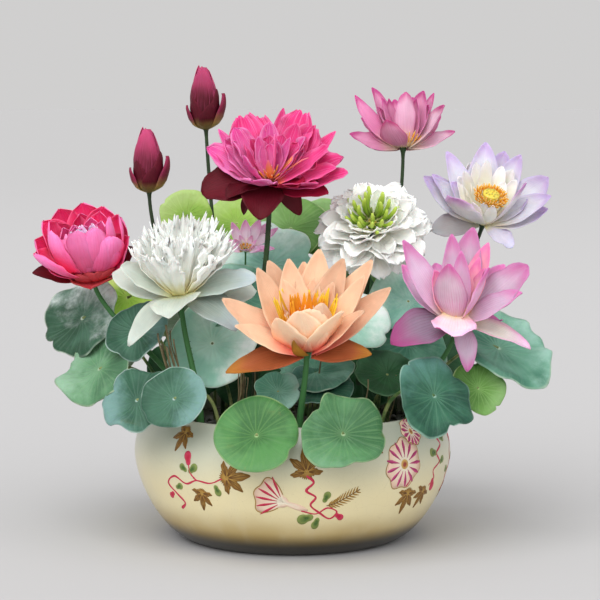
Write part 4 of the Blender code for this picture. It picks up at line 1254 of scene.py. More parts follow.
def build_bowl(values):
    """The glazed bowl with its rounded lip."""
    heights = [BOWL["height"] * (1 - cos(pi / 2 * i / 44)) for i in range(45)]
    outer = [(bowl_radius(height), height) for height in heights]
    outer[0] = (BOWL["foot"] - BOWL["foot_edge"], BOWL["foot_edge"] / 3)
    lip_middle = BOWL["rim"] - BOWL["wall"] / 2
    lip = [(lip_middle + BOWL["wall"] / 2 * cos(turn),
            BOWL["height"] + values.lip / MM * sin(turn))
           for turn in np.linspace(0.25, pi - 0.25, 8)]
    inner = [(bowl_radius(height) - BOWL["wall"], height)
             for height in np.linspace(BOWL["height"], 14, 24)]
    ring, hollow = BOWL["foot"] - BOWL["foot_ring"], BOWL["foot_hollow"]
    profile = [(0, hollow), (ring - 2, hollow), (ring, 0), *outer, *lip, *inner,
               (inner[-1][0] - 8, BOWL["floor"]), (0, BOWL["floor"])]
    item = show(turned_mesh("glazed_bowl", profile, values.steps, [glaze_material(values)]))
    return settle(item, "glaze", "bowl")


# Painted sprays, as places on the unrolled glaze: millimetres to the right of the front's middle,
# and height. Their motifs are common ones: twining stems, buds, ivy and fern leaves, and trumpet
# blooms.
SPRAYS = [
    ("stem", [(-112, 40), (-105, 46), (-113, 54), (-121, 62), (-111, 69), (-98, 64), (-86, 68),
         (-72, 67), (-60, 72)], 1.9, "rose"),
    ("stem", [(-86, 68), (-92, 74), (-94, 81)], 1.5, "rose"),
    ("drop", (-95, 85), 13, 105, "rose"), ("drop", (-90, 77), 12, 40, "olive"),
    ("drop", (-99, 77), 10, 150, "olive"), ("ivy", (-56, 73), 34, 8, "brown"),
    ("ivy", (-82, 57), 25, 262, "brown"), ("ivy", (-106, 106), 27, 250, "brown"),
    ("drop", (-66, 62), 11, -70, "olive"), ("drop", (-119, 52), 9, 215, "rose"),
    ("drop", (-108, 60), 10, 20, "olive"),
    ("stem", [(12, 77), (18, 71), (12, 64), (20, 58), (16, 51), (24, 44), (34, 38), (40, 44),
         (31, 48), (21, 43), (8, 46)], 1.9, "rose"), ("ivy", (12, 80), 33, 96, "brown"),
    ("trumpet", (-8, 54), 41, 160, "cream"),
    ("fern", [(30, 50), (38, 52), (48, 57), (59, 63)], 15, "brown"),
    ("drop", (13, 39), 16, 195, "olive"), ("drop", (22, 35), 12, 250, "olive"),
    ("drop", (29, 57), 11, 65, "olive"), ("drop", (42, 40), 10, 330, "rose"),
    ("bloom", (104, 80), 46, 150, "cream"), ("ivy", (113, 53), 29, 262, "brown"),
    ("stem", [(108, 60), (112, 66), (108, 73)], 1.7, "rose"),
    ("ivy", (136, 52), 25, 245, "brown"),
    ("stem", [(168, 104), (159, 97), (164, 89), (153, 83), (158, 75), (147, 69), (151, 61),
         (144, 56)], 1.9, "rose"), ("drop", (150, 57), 13, 290, "rose"),
    ("drop", (170, 94), 12, 350, "olive"), ("drop", (148, 84), 13, 170, "olive"),
    ("drop", (163, 75), 11, 20, "olive"), ("bloom", (122, 105), 26, 90, "cream"),
    ("ivy", (72, 98), 28, 62, "brown"), ("drop", (60, 92), 10, 200, "olive"),
    ("stem", [(186, 44), (194, 52), (188, 60), (198, 68), (192, 78), (200, 86)], 1.8, "rose"),
    ("ivy", (196, 46), 18, 300, "brown"), ("drop", (201, 90), 12, 80, "rose"),
    ("drop", (184, 64), 11, 160, "olive"), ("drop", (203, 72), 11, 20, "olive"),
]
# Enamels: the colour at a stroke's middle or root, and at its edge or end
PAINTS = {
    "rose": ((0.50, 0.012, 0.05), (0.62, 0.05, 0.11)),
    "brown": ((0.46, 0.27, 0.06), (0.25, 0.12, 0.02)),
    "olive": ((0.07, 0.14, 0.03), (0.24, 0.30, 0.08)),
    "cream": ((0.86, 0.78, 0.62), (0.84, 0.60, 0.46)),
    "plum": ((0.34, 0.015, 0.11), (0.56, 0.08, 0.22)),
    "throat": ((0.34, 0.06, 0.04), (0.66, 0.42, 0.12)),
    "vein": ((0.13, 0.055, 0.012), (0.20, 0.09, 0.02)),
}


def on_glaze(flat, lift):
    """Points of the unrolled glaze, in millimetres, on the bowl in metres; lift is outwards."""
    flat = np.asarray(flat, float)
    radius = np.vectorize(bowl_radius)(np.clip(flat[..., 1], 2, BOWL["height"]))
    turn = flat[..., 0] / BOWL["belly"]
    reach = (radius + lift) * MM
    return np.stack([reach * np.sin(turn), -reach * np.cos(turn), flat[..., 1] * MM], -1)


def smooth_path(spots, count):
    """A smooth line through a few points."""
    spots = np.array(spots, float)
    padded = np.concatenate([[2 * spots[0] - spots[1]], spots, [2 * spots[-1] - spots[-2]]])
    made = []
    for t in np.linspace(0, len(spots) - 1 - 1e-6, count):
        i = int(t)
        f = t - i
        a, b, c, d = padded[i:i + 4]
        made.append(0.5 * (2 * b + (c - a) * f + (2 * a - 5 * b + 4 * c - d) * f ** 2
                           + (3 * b - a - 3 * c + d) * f ** 3))
    return np.array(made)


class Brush:
    """Lays enamel on the glaze, in one mesh; a rise of 1 stands off it by the brush's lift."""

    def __init__(self, lift):
        self.sheets, self.lift = Sheets(), lift
        self.slots = {name: number for number, name in enumerate(PAINTS)}

    def line(self, spots, widths, paint, rise=1.0):
        """A stroke along a line, highest along its middle."""
        way = np.gradient(spots, axis=0)
        way /= np.linalg.norm(way, axis=1)[:, None]
        off = np.stack([-way[:, 1], way[:, 0]], -1)
        across = np.linspace(-0.5, 0.5, 5)
        widths = np.broadcast_to(widths, len(spots))[:, None, None]
        flat = spots[:, None] + off[:, None] * (across[:, None] * widths)
        height = self.lift * rise * (1 - 0.5 * (2 * across) ** 2)
        grid = on_glaze(flat, np.broadcast_to(height, flat.shape[:2]))
        maps = grid_map(*grid.shape[:2])[:, :, ::-1]
        self.sheets.add_grid(grid[:, ::-1], maps, 0.5, self.slots[paint])

    def ray(self, place, size, way, reach, widths, paint, rise):
        """A tapered stroke along a ray of a motif, from one share of its size to another."""
        ray = np.array([cos(way), sin(way)]) * size
        ends = [np.array(place) + ray * share for share in reach]
        widths = np.interp(np.linspace(0, 1, 9), np.linspace(0, 1, 4), widths)
        self.line(smooth_path(ends, 9), widths, paint, rise)

    def fill(self, middle, outline, paint, rise=1.0):
        """A filled shape that every ray from its middle crosses once."""
        middle, outline = np.array(middle, float), np.array(outline, float)
        shares = np.array([0.02, 0.35, 0.7, 1.0])
        flat = middle + (outline[None] - middle) * shares[:, None, None]
        height = (self.lift * rise * (1.15 - 0.5 * shares))[:, None]
        grid = on_glaze(flat, np.broadcast_to(height, flat.shape[:2]))
        maps = grid_map(*grid.shape[:2])[:, ::-1]
        self.sheets.add_grid(grid[:, ::-1], maps, 0.5, self.slots[paint], closed=True)


def ray_shape(middle, size, turn, reach, count=60, slim=1.0):
    """An outline from a rule that gives its reach in each direction from -pi to pi."""
    ways = np.linspace(-pi, pi, count, endpoint=False)
    spread = size * reach(ways)
    x, y = spread * np.cos(ways), spread * np.sin(ways) * slim
    lean = radians(turn)
    return np.stack([middle[0] + x * cos(lean) - y * sin(lean),
                     middle[1] + x * sin(lean) + y * cos(lean)], -1)


def mirrored(kind, place, size, *more):
    """The same motif on the far side of the bowl, seen in a mirror."""
    across = pi * BOWL["belly"]
    if kind in ("stem", "fern"):
        return (kind, [(across - a, h) for a, h in place], size, *more)
    return (kind, (across - place[0], place[1]), size, 180 - more[0], more[1])


def paint_stem(brush, path, width, paint):
    """A twining stem that thins towards its end."""
    line = smooth_path(path, 14 * len(path))
    s = np.linspace(0, 1, len(line))
    brush.line(line, width * (1.15 - 0.6 * s) * (1 + 0.18 * np.sin(40 * s)), paint)


def paint_fern(brush, path, size, paint):
    """A frond: a thin rib with slanting barbs on both sides."""
    line = smooth_path(path, 14 * len(path))
    s = np.linspace(0, 1, len(line))
    brush.line(line, 0.8, "vein", 1.7)
    for number in range(4, len(line) - 2, 5):
        way = line[number + 1] - line[number]
        way /= np.linalg.norm(way)
        length = size * 0.55 * sin(pi * (0.12 + 0.8 * s[number])) ** 0.7
        for side in (1, -1):
            off = way * 0.75 + side * 0.66 * np.array([-way[1], way[0]])
            barb = smooth_path([line[number], line[number] + off * length], 6)
            brush.line(barb, (0.5, 1.1, 1.4, 1.2, 0.7, 0.2), paint)


def paint_drop(brush, place, size, turn, paint):
    """A bud or a small leaf, as one pointed drop."""
    outline = ray_shape(place, size * 0.55, turn, lambda w: (
        0.3 + 0.7 * np.abs(np.cos(w / 2)) ** 6 + 0.4 * np.abs(np.sin(w / 2)) ** 9))
    brush.fill(place, outline, paint)


def paint_ivy(brush, place, size, turn, paint):
    """A leaf of five lobes, each with its veins."""
    lobes = ((0, 0.72), (0.8, 0.56), (-0.8, 0.56), (1.7, 0.38), (-1.7, 0.38))
    outline = ray_shape(place, size * 0.6, turn, lambda w: 0.3 + 0.04 * np.cos(23 * w) + sum(
        share * np.exp(-((w - way) / 0.3) ** 2) for way, share in lobes), 120)
    brush.fill(place, outline, paint)
    for way, share in lobes:
        for off, reach in ((0, 0.98), (0.17, 0.62), (-0.17, 0.62)):
            brush.ray(place, size, radians(turn) + way + off,
                      (0.06, (0.28 + share) * reach * 0.6), (0.5, 0.9, 0.7, 0.2), "vein", 1.7)


def paint_trumpet(brush, place, size, turn, paint):
    """A trumpet bloom from the side, with rays in its mouth."""
    outline = ray_shape(place, size * 0.6, turn, lambda w: (
        0.2 + 0.8 / (1 + np.exp((np.abs(w) - 1.0) * 9)) * (1 + 0.06 * np.cos(9 * w))
        + 0.75 * np.exp(-((np.abs(w) - pi) / 0.22) ** 2)), 120)
    brush.fill(place, outline, paint)
    brush.line(outline[36:85], 0.8, "brown", 1.6)
    for way in np.linspace(-0.86, 0.86, 6):
        brush.ray(place, size, radians(turn) + way, (0.12, 0.57), (0.5, 1.5, 2.4, 0.6),
                  "rose", 1.8)


def paint_bloom(brush, place, size, turn, paint):
    """A trumpet bloom from the front, with rays around its throat."""
    outline = ray_shape(place, size * 0.5, turn + 90, lambda w: 0.93 + 0.06 * np.cos(7 * w), 96,
                        0.88)
    brush.fill(place, outline, paint, 1.4)
    brush.line(np.concatenate([outline, outline[:2]]), 0.6, "brown", 1.8)
    for way in headings(13):
        brush.ray(place, size, way, (0.13, 0.43), (0.5, 1.7, 3.3, 1.1), "plum", 2.0)
    brush.fill(place, ray_shape(place, size * 0.09, 0, np.ones_like, 20), "throat", 2.4)


PAINTERS = {"stem": paint_stem, "fern": paint_fern, "drop": paint_drop, "ivy": paint_ivy,
            "trumpet": paint_trumpet, "bloom": paint_bloom}


def build_sprays(values):
    """All painted sprays as one thin piece on the glaze."""
    brush = Brush(values.lift / MM)
    for kind, *motif in SPRAYS + [mirrored(*spray) for spray in SPRAYS]:
        PAINTERS[kind](brush, *motif)
    materials = [paint_material("paint_" + name, *colours) for name, colours in PAINTS.items()]
    item = show(brush.sheets.mesh("painted_sprays", "stroke", materials))
    thicken(item, 0.1 * MM)
    return settle(item, "glaze")


# Soil, stalks and leaves

def build_soil(values):
    """Wet, lumpy soil up to the bowl's wall."""
    gap, lumps, bottom, sectors, rings = 0.4, 26, 84, 96, 26
    reach = bowl_radius(SOIL_TOP / MM) - BOWL["wall"] - gap
    rng = np.random.default_rng(11)
    turns = headings(sectors)
    shares = np.linspace(0.02, 1, rings)
    x, y = (np.outer(shares * reach, wave(turns)) for wave in (np.cos, np.sin))
    bumps = np.zeros_like(x)
    for _ in range(lumps):
        way, wave, phase = rng.uniform(0, 6.3), rng.uniform(0.05, 0.35), rng.uniform(0, 6.3)
        bumps += np.sin((x * cos(way) + y * sin(way)) * wave + phase) * 0.3
    heights = SOIL_TOP / MM - 0.6 + bumps * (1 - shares[:, None] ** 8)
    top = np.stack([x, y, heights], -1)
    skirt = top[-1:] * (1, 1, 0) + (0, 0, bottom)
    skirt[..., :2] *= 0.985
    rings = np.concatenate([top, skirt])[::-1] * MM
    sheets = Sheets()
    sheets.add_grid(rings[:, ::-1], closed=True)
    sheets.add_fan(rings[0], rings[0].mean(0), 0.5)
    sheets.add_fan(rings[-1], rings[-1].mean(0), 0.5, -1)
    wet = {"Roughness": 0.5, "Coat Weight": 0.25, "Coat Roughness": 0.3}
    material = mottled_material("soil", tuple(values.soil), toned(values.soil, 2.6), 120, wet,
                                0.7, 0.001)
    item = show(weld(sheets.mesh("pot_soil", "turned", [material])))
    area = pi * (reach * MM) ** 2
    grow(item, "crumbs", Count=values.crumbs / area, Material=material)
    return settle(item, "soil", "soil")


def soil_point(foot):
    """The place just above the soil where a stalk starts to bend."""
    return Vector((foot[0] * MM, foot[1] * MM, SOIL_TOP + SEAT_GAP + STALK_FOOT))


def stalk_route(start, rise, leave, end, count):
    """The upright foot of a stalk and its bend to its end."""
    return np.concatenate([[np.array(start) - (0, 0, STALK_FOOT)],
                           bend(start, rise, leave, end, count)])


def build_stem(name, values):
    """A prickly stalk with the receptacle at its top."""
    foot, thick = HEADS[name][2:]
    base, turn = head_frame(name)
    axis = turn.col[2]
    radius = values.flower_stalk * thick / 2.5
    start, end = soil_point(foot), base - axis * radius
    height = end.z - start.z
    route = stalk_route(start, start + Vector((0, 0, height * 0.35)), end - axis * height * 0.3,
                        end, 44)
    # The receptacle widens over the last four rings, the upper two of them inside the bloom
    route = np.concatenate([route, [np.array(base + axis * rise * MM) for rise in (1.0, 3.5)]])
    radii = radius * (1.12 - 0.3 * np.linspace(0, 1, len(route)))
    radii[-4:] = radii[-4] * np.array([1, 1.25, 1.8, 1.9])
    sheets = Sheets()
    capped(sheets, tube(route, radii, 14))
    # Heads above DARK_STALK stand on a darker copy of the stalk colour, painted shade
    material = bpy.data.materials["stalk_dark" if base.z > DARK_STALK else "stalk"]
    item = show(weld(sheets.mesh(name + "_stem", "stem", [material])))
    density, size = (12000.0, 0.0011) if thick > 2 else (4000.0, 0.0005)
    grow(item, "prickles", Density=density, Size=size, Seed=len(name), Material=material)
    return settle(item, "stalk", name + "_stalk")


# Seed pods: height, radius and material
PODS = {
    "lavender": (36, 7.6, "pod"), "blush": (12.5, 6.0, "pod"), "peach": (12.5, 4.0, "pod"),
    "pink_cup": (12.5, 6.0, "pod"), "rose_globe": (12.5, 5.5, "pod"),
    "white_pompom": (7, 5.0, "pod_green"),
}
SEEDS, SEED_SHAPE = 15, [(0, -0.8), (0.7, -0.3), (0.85, 0.3), (0.55, 0.9), (0, 1.1)]


def build_pod(name):
    """The seed pod in the middle of a bloom, with its seeds."""
    height, radius, material = PODS[name]
    profile = [(0, 2.6), (2.4, 2.8), (2.7, 4), (radius * 0.8, height * 0.7), (radius, height - 1),
               (radius * 0.97, height - 0.2), (radius * 0.8, height + 0.4),
               (radius * 0.4, height + 0.9), (0, height + 1)]
    mesh = turned_mesh(name + "_pod", profile, 26, [bpy.data.materials[material]])
    mesh.transform(head_matrix(name))
    ripe = bpy.data.materials["seed"]
    seeds = show(turned_mesh(name + "_seeds", SEED_SHAPE, 8, [ripe]))
    grow(seeds, "crown", Count=SEEDS, Inner_Radius=0.6 * MM, Outer_Radius=radius * 0.78 * MM,
         Inner_Lean=0.0, Outer_Lean=0.15, Variation=0.2, Seed=5, Material=ripe)
    seeds.data.transform(head_matrix(name, height + 0.7))
    return [settle(show(mesh), "stalk"), settle(seeds, "stalk")]


# Crowns: count, inner and outer radius, inner and outer lean in degrees, length, width, level
# and kind
CROWNS = {
    "peach": (84, 2.5, 6.5, 4, 25, 30, 0.55, 8, "stamen"),
    "blush": (46, 4.5, 6.0, 4, 20, 11, 0.42, 4, "stamen"),
    "lavender": (130, 7.0, 9.0, 14, 50, 10, 0.55, 29, "stamen"),
    "pink_cup": (50, 5.5, 7.5, 6, 46, 15, 0.42, 5, "stamen"),
    "white_pompom": (26, 2.4, 8.6, 6, 60, 22, 2.1, 12, "carpel"),
    "magenta": (26, 1.0, 4.8, 10, 58, 12, 0.5, 9, "stamen"),
    "small_pink": (24, 0.6, 2.6, 5, 56, 5.6, 0.5, 3, "stamen"),
    "rose_globe": (40, 5.5, 7.5, 6, 46, 15, 0.42, 5, "stamen"),
}

# Thickness along a stamen or carpel, as shares of its width, and how far it bows
CROWN_SHAPES = {
    "stamen": ((0.55, 0.5, 0.5, 0.55, 1.25, 1.35, 0.9, 0.2), 0.05),
    "carpel": ((0.45, 0.6, 0.75, 0.9, 1.0, 1.0, 0.9, 0.5), 0.14),
}


def build_crown(name):
    """The crown of stamens or carpels of one bloom."""
    count, inner, outer, lean, out_lean, length, width, level, kind = CROWNS[name]
    shape, bow = CROWN_SHAPES[kind]
    s = np.linspace(0, 1, len(shape))
    route = np.stack([bow * length * np.sin(pi * s), 0 * s, s * length], -1) * MM
    sheets = Sheets()
    capped(sheets, tube(route, width * np.array(shape) * MM, 6))
    item = show(weld(sheets.mesh(f"{name}_{kind}s_crown", "stroke", [])))
    grow(item, "crown", Count=count, Inner_Radius=inner * MM, Outer_Radius=outer * MM,
         Inner_Lean=radians(lean), Outer_Lean=radians(out_lean), Variation=0.14,
         Drop=0.0015, Seed=len(name), Material=bpy.data.materials[kind])
    item.data.transform(head_matrix(name, level))
    return settle(item, kind + "s", *solid(f"{name}_{kind}s"))


def bud_radius(share):
    """Radius of a bud, in millimetres, at a share of its height."""
    return np.interp(share, *zip(*BUD_SHAPE))


def build_bud(name, values):
    """A closed bud: its heart, the petals wrapped around it and its small outer leaves."""
    base, turn = head_frame(name)
    rng = np.random.default_rng(len(name))
    turned, middle = np.array(turn).T, np.array(base)
    tall = values.bud / MM
    v, u = np.meshgrid(np.linspace(0, 1, 25), np.linspace(-1, 1, 15), indexing="ij")
    sheets = Sheets()
    for heading, half, top, lift, flare, tone in WRAPS:
        full, point = WRAP_FORMS[tone]
        profile = (0.8 + 0.2 * np.sin(pi * np.minimum(v / 0.9, 1))) * (1 - v ** full) ** point
        way = np.radians(heading + rng.uniform(-4, 4) + half * u * profile + 16 * v)
        share = top * v
        radius = (bud_radius(share) + lift * np.minimum(v / 0.15, 1) + 0.25 * u * np.sin(9 * v)
                  + flare * v ** 0.8 * (1 - 0.35 * v ** 4) * (1 - 0.5 * u ** 2))
        spots = np.stack([radius * np.cos(way), radius * np.sin(way), share * tall], -1) * MM
        sheets.add_grid((spots @ turned + middle)[:, ::-1], None, rng.uniform(0, 1), tone)
    materials = [petal_material(f"{name}_{number}", tone[0], values.glow)
                 for number, tone in enumerate(TONES["bud"])]
    petals = show(sheets.mesh(name + "_petals", "petal", materials))
    thicken(petals, 0.4 * MM)
    profile = [(0, 0.3), *((bud_radius(share) - 0.5, share * tall)
                           for share in np.linspace(0.02, 0.96, 18)), (0, tall * 0.965)]
    heart = show(turned_mesh(name + "_heart", profile, 24, materials[:1], "petal"))
    heart.data.transform(head_matrix(name))
    return [settle(petals, "bud", name), settle(heart, "bud", name)]


def blade_points(radius, shares, turns, wild, rng):
    """Points of a blade: a shallow funnel with a lobed, notched and partly folded rim."""
    s, w = np.meshgrid(shares, turns, indexing="ij")

    def near(place, width):
        return np.exp(-(((w - place + pi) % FULL_TURN - pi) / width) ** 2)

    rim, wave = np.zeros_like(s), np.zeros_like(s)
    for count in range(2, 8):
        rim += wild * 0.08 / count * np.sin(count * w + rng.uniform(0, 6.3))
    for _ in range(round(2.4 * wild)):
        rim -= rng.uniform(0.03, 0.12) * near(rng.uniform(0, 6.3), rng.uniform(0.06, 0.2))
    for _ in range(3):
        rise = wild * rng.uniform(-0.17, 0.15)
        wave += rise * near(rng.uniform(0, 6.3), rng.uniform(0.3, 0.7)) * ease(s, 0.3, 1.0)
    wave += wild * (0.03 * s ** 2 * np.sin(5 * w + rng.uniform(0, 6))
                    + 0.014 * s ** 5 * np.sin(13 * w))
    # Main veins lie a little below the flesh between them
    wave += 0.006 * np.sin(s * pi) * np.cos(LEAF_VEINS * w) - 0.06 * ease(s, 0.86, 1.0)
    funnel = 0.13 * s ** 1.5 - 0.03 * np.exp(-(s / 0.08) ** 2)
    reach = radius * s * (1 + s ** 2 * rim)
    return np.stack([reach * np.cos(w), reach * np.sin(w), radius * (funnel + wave)], -1)


def build_leaf(name, number, plan, values):
    """A blade with its stalk as one piece."""
    centre, radius, tilt, heading, foot, tone, pale, wild = plan
    rng = np.random.default_rng(100 + number)
    lean, way = radians(tilt), radians(heading)
    normal = Vector((sin(lean) * cos(way), sin(lean) * sin(way),
                     cos(lean)))
    turn = np.array(Vector((0, 0, 1)).rotation_difference(normal).to_matrix())
    middle = np.array(centre) * MM
    shares = np.linspace(0, 1, values.rings + 1)[1:] ** 0.85
    turns = headings(values.sectors)
    grid = blade_points(radius * MM, shares, turns, wild, rng)
    over = np.gradient(grid, axis=0)
    around = np.roll(grid, -1, axis=1) - np.roll(grid, 1, axis=1)
    up = np.cross(over, around)
    up /= np.linalg.norm(up, axis=2)[..., None]
    half = values.thickness / 2 * up
    maps = (np.stack([np.cos(turns), np.sin(turns)], -1) * shares[:, None, None]) / 2 + 0.5
    # Painted light: the tone runs from -1 on the blade's shaded side to 1 on the side towards this
    # way
    pale = radians(pale)
    lit = grid @ turn.T @ (cos(pale), -0.3 * sin(pale), sin(pale)) / (radius * MM)
    sheets = Sheets()
    for side, slot in ((1, 0), (-1, 1)):
        sheet = (grid + side * half) @ turn.T + middle
        dip = grid[0, :, 2].mean() - 0.0006 + side * values.thickness / 2
        hub = np.array([0, 0, dip]) @ turn.T + middle
        order = slice(None) if side == 1 else slice(None, None, -1)
        sheets.add_grid(sheet[:, order], maps[:, order], lit[:, order], slot, closed=True)
        hub_maps = np.concatenate([[[0.5, 0.5]], maps[0][order]])
        sheets.add_fan(sheet[0][order], hub, hub_maps, -1, 0, slot)
    rim = np.stack([(grid[-1] + side * half[-1]) @ turn.T + middle for side in (1, -1)])
    sheets.add_grid(rim, np.stack([maps[-1]] * 2), np.stack([lit[-1]] * 2), 0, closed=True)

    start, end = soil_point(foot), Vector(centre) * MM
    inward = Vector((start.x - end.x, start.y - end.y, 0)).normalized()
    # A stalk that leads over the rim rises well above it, and comes down to its blade
    over_rim = hypot(end.x, end.y) > (BOWL["rim"] - 10) * MM
    rise = start + Vector((0, 0, max(0.4 * (end.z - start.z), 36 * MM if over_rim else 0)))
    leave = end + (inward * 26 + Vector((0, 0, 12))) * MM if over_rim else end - normal * 16 * MM
    route = stalk_route(start, rise, leave, end, 30)
    s = np.linspace(0, 1, len(route))
    capped(sheets, tube(route, values.stalk * (1.1 - 0.3 * s), 10), 0.5, 2)
    materials = [bpy.data.materials[label]
                 for label in (f"leaf_{tone}", f"leaf_{tone}_under", "leaf_stalk")]
    item = show(weld(sheets.mesh(name + "_blade", "blade", materials)))
    return settle(item, "leaf", *solid(name))


# Dry stems of last year, in clumps: foot, top and how many
REEDS = [((-86, -56), (-109, -71, 184), 8), ((-48, -68), (-44, -77, 154), 6),
         ((60, -70), (64, -80, 148), 1), ((-12, -60), (-10, -70, 136), 1),
         ((20, -40), (26, -44, 170), 1), ((-30, -30), (-34, -34, 190), 1),
         ((84, -46), (90, -50, 150), 1)]


def build_reeds():
    """Dry stems between the stalks, snapped off at their tops."""
    rng = np.random.default_rng(21)
    sheets = Sheets()
    for foot, top, count in REEDS:
        for _ in range(count):
            spread = rng.uniform(-1, 1, 3) * min(count, 8)
            start = np.array((foot[0] + spread[0] * 0.7, foot[1] + spread[1] * 0.7, 94.0)) * MM
            end = (np.array(top) + spread * (1.1, 0.8, 1.6)) * MM
            upright = (0, 0, 20 * MM)
            route = sway(bend(start, start + upright, end - upright, end, 24), 0.7 * MM, rng)
            radii = rng.uniform(0.6, 0.95) * MM * (1 + 0.12 * np.sin(np.linspace(0, 20, 24)))
            capped(sheets, tube(route, radii, 8), rng.uniform(0, 1))
    item = show(weld(sheets.mesh("dry_stems", "stem", [bpy.data.materials["reed"]])))
    return settle(item, "stalk")


# Shared materials and stage

def gradient_material(name, colours):
    """Colours along v of the stroke's UV, from its root to its end."""
    _, tree, shader = new_material(name, {"Roughness": 0.5})
    _, split = uv_parts(tree, "stroke")
    colour = colours[0][1]
    for (low, _), (high, following) in zip(colours, colours[1:]):
        colour = blend(tree, step(tree, split[1], low, high), colour, following)
    grain = noise(tree, 700, 2)
    deeper = blend(tree, 1, colour, (0.7, 0.6, 0.4), "MULTIPLY")
    join(tree, shader, Normal=bump(tree, grain, 0.4, 0.0003),
         Base_Color=blend(tree, times(tree, grain, 0.4), colour, deeper))


def build_shared(values):
    """The node groups and the materials that several pieces share."""
    for maker in (petal_group, leaf_group, crown_tree, prickle_tree, crumb_tree):
        maker()
    for tone in LEAF_TONES:
        leaf_material(tone, 0.5 if tone in ("sage", "meadow") else 0.25)
        leaf_material(tone, 0.15, under=True)
    green = tuple(values.stalk_colour)
    mottled_material("stalk", green, (green[0] * 1.7, green[1] * 1.45, green[2] * 1.3), 60)
    # A darker copy of the stalk colour, painted shade on stalks that rise among the leaves
    mottled_material("stalk_dark", toned(green, 0.24), toned(green, 0.5), 60)
    mottled_material("leaf_stalk", toned(green, 0.8), (0.26, 0.30, 0.10), 70)
    dry = tuple(values.reed_colour)
    mottled_material("reed", dry, toned(dry, 0.55), 150)
    mottled_material("pod", (0.80, 0.62, 0.06), (0.62, 0.56, 0.10), 180)
    mottled_material("pod_green", (0.40, 0.52, 0.08), (0.56, 0.62, 0.16), 180)
    mottled_material("seed", (0.50, 0.50, 0.10), (0.66, 0.42, 0.05), 300)
    gradient_material("stamen", [
        (0, (0.90, 0.74, 0.34)), (0.5, (0.92, 0.66, 0.20)), (0.62, (0.90, 0.36, 0.02)),
        (0.9, (0.95, 0.55, 0.05)), (0.97, (0.92, 0.86, 0.7))])
    # Carpels: darker towards the root, painted shade where they sit down among the petals; green
    # to lime towards the tip
    gradient_material("carpel", [
        (0, (0.12, 0.18, 0.02)), (0.4, (0.26, 0.44, 0.03)), (0.9, (0.52, 0.70, 0.10))])


# The camera stands in front of the bowl, a little above it
EYE, LOOK_AT, FOCAL_LENGTH = (0.0066, -1.90, 0.40), (0.0066, 0, 0.2085), 129.76
# Lamps: width of the light, lean from straight down and heading, in degrees
LAMPS = {"key": (55, 40, -24), "fill": (120, 66, 12)}


def build_stage(values):
    """The floor, the light and the camera."""
    rings = lathe([(values.spread / MM * share, 0) for share in (0.02, 0.2, 1.0)], 64)
    sheets = Sheets()
    sheets.add_grid(rings, closed=True)
    sheets.add_fan(rings[0], (0, 0, 0), 0.5, -1)
    material, tree, shader = new_material("floor", {"Roughness": 0.9, "Specular IOR Level": 0.0})
    spot = node(tree, "ShaderNodeTexCoord").outputs["Object"]
    away = node(tree, "ShaderNodeVectorMath", {0: spot}, operation="LENGTH")
    # Painted pool of light: lighter near the bowl, darker towards the far edge
    join(tree, shader, Base_Color=blend(tree, step(tree, away.outputs["Value"], 0.4, 8.0),
                                        values.near, values.far))
    floor = show(weld(sheets.mesh("floor", "turned", [material])))

    world = bpy.data.worlds.new("soft_room")
    world.use_nodes = True
    sky = next(item for item in world.node_tree.nodes if item.type == "BACKGROUND")
    sky.inputs["Color"].default_value = (1.0, 0.99, 0.985, 1)
    sky.inputs["Strength"].default_value = values.sky
    bpy.context.scene.world = world

    for name, (width, lean, way) in LAMPS.items():
        lamp = bpy.data.lights.new(name, "SUN")
        lamp.energy = values.lamp if name == "key" else values.fill
        lamp.angle = radians(width)
        holder = bpy.data.objects.new(name, lamp)
        holder.rotation_euler = (radians(lean), 0, radians(way))
        bpy.context.scene.collection.objects.link(holder)

    lens = bpy.data.cameras.new("view")
    lens.lens = FOCAL_LENGTH
    eye = bpy.data.objects.new("view", lens)
    eye.location = EYE
    eye.rotation_euler = (Vector(LOOK_AT) - eye.location).to_track_quat("-Z", "Y").to_euler()
    bpy.context.scene.collection.objects.link(eye)
    bpy.context.scene.camera = eye
    bpy.context.scene.view_settings.view_transform = "Standard"
    return [floor]


# Operators

class LotusMaker:
    """What the operators share: each makes its pieces, or stops with an error."""
    bl_options = {"REGISTER", "UNDO"}

    def execute(self, context):
        made = self.make(context.scene)
        if not made or not all(item.data for item in made):
            raise RuntimeError(self.bl_label + " couldn't be made")
        return {"FINISHED"}


class LOTUS_OT_shared(LotusMaker, bpy.types.Operator):
    """Make the node groups and shared materials"""
    bl_idname = "object.lotus_shared"
    bl_label = "Shared Materials"

    def execute(self, context):
        build_shared(context.scene.lotus_leaf)
        return {"FINISHED"}


class LOTUS_OT_bowl(LotusMaker, bpy.types.Operator):
    """Make the glazed bowl, its painted sprays and the soil in it"""
    bl_idname = "object.lotus_bowl"
    bl_label = "Bowl and Soil"

    def make(self, scene):
        values = scene.lotus_bowl
        return [build_bowl(values), build_sprays(values), build_soil(values)]


class LOTUS_OT_stalks(LotusMaker, bpy.types.Operator):
    """Make the flower stalks and the dry stems"""
    bl_idname = "object.lotus_stalks"
    bl_label = "Stalks"

    def make(self, scene):
        return [build_stem(name, scene.lotus_leaf) for name in HEADS] + [build_reeds()]


class LOTUS_OT_petals(LotusMaker, bpy.types.Operator):
    """Make the petals of every bloom"""
    bl_idname = "object.lotus_petals"
    bl_label = "Petals"

    def make(self, scene):
        return [build_petals(name, scene.lotus_petal) for name in PLACED]


class LOTUS_OT_buds(LotusMaker, bpy.types.Operator):
    """Make the two closed buds"""
    bl_idname = "object.lotus_buds"
    bl_label = "Buds"

    def make(self, scene):
        values = scene.lotus_petal
        return [*build_bud("tall_bud", values), *build_bud("low_bud", values)]


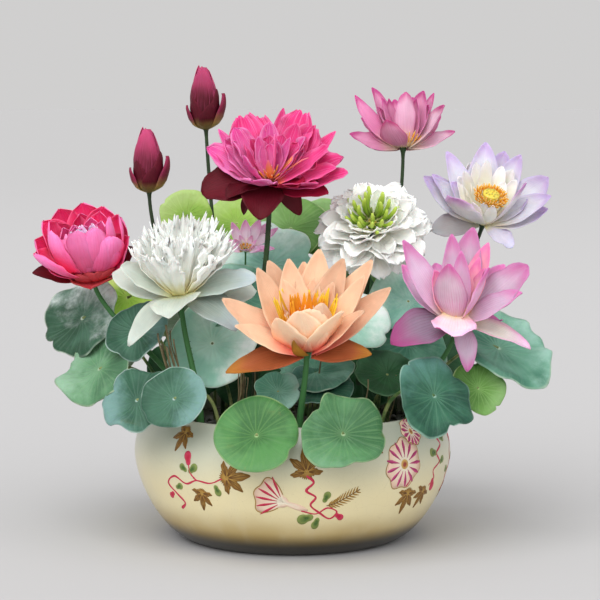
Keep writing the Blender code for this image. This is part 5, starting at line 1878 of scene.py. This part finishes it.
class LOTUS_OT_crowns(LotusMaker, bpy.types.Operator):
    """Make the seed pods, stamens and carpels"""
    bl_idname = "object.lotus_crowns"
    bl_label = "Pods and Crowns"

    def make(self, scene):
        made = [build_crown(name) for name in CROWNS]
        for name in PODS:
            made.extend(build_pod(name))
        return made


class LOTUS_OT_leaves(LotusMaker, bpy.types.Operator):
    """Make the leaves with their stalks"""
    bl_idname = "object.lotus_leaves"
    bl_label = "Leaves"

    def make(self, scene):
        return [build_leaf(name, number, plan, scene.lotus_leaf)
                for number, (name, plan) in enumerate(LEAVES.items())]


class LOTUS_OT_stage(LotusMaker, bpy.types.Operator):
    """Make the floor, the light and the camera"""
    bl_idname = "object.lotus_stage"
    bl_label = "Stage"

    def make(self, scene):
        return build_stage(scene.lotus_stage)


OPERATORS = (LOTUS_OT_shared, LOTUS_OT_bowl, LOTUS_OT_stalks, LOTUS_OT_petals, LOTUS_OT_buds,
             LOTUS_OT_crowns, LOTUS_OT_leaves, LOTUS_OT_stage)
GROUPS = {"lotus_bowl": LotusBowlValues, "lotus_petal": LotusPetalValues,
          "lotus_leaf": LotusLeafValues, "lotus_stage": LotusStageValues}


class LOTUS_PT_panel(bpy.types.Panel):
    """Sizes, colours and makers of the bowl lotus"""
    bl_label = "Bowl Lotus"
    bl_space_type = "VIEW_3D"
    bl_region_type = "UI"
    bl_category = "Bowl Lotus"

    def draw(self, context):
        column = self.layout.column()
        for maker in OPERATORS:
            column.operator(maker.bl_idname)
        for name, group in GROUPS.items():
            box = self.layout.box()
            for value in group.__annotations__:
                box.prop(getattr(context.scene, name), value)


def register():
    """Adds the values, operators and panel to Blender."""
    for item in (*GROUPS.values(), *OPERATORS, LOTUS_PT_panel):
        bpy.utils.register_class(item)
    for name, group in GROUPS.items():
        setattr(bpy.types.Scene, name, PointerProperty(type=group))


def unregister():
    """Takes them away again."""
    for name in GROUPS:
        delattr(bpy.types.Scene, name)
    for item in (LOTUS_PT_panel, *reversed(OPERATORS), *reversed(list(GROUPS.values()))):
        bpy.utils.unregister_class(item)


def main():
    """Makes every piece in order."""
    register()
    for maker in OPERATORS:
        group, call = maker.bl_idname.split(".")
        getattr(getattr(bpy.ops, group), call)()
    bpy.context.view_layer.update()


if __name__ == "__main__":
    main()
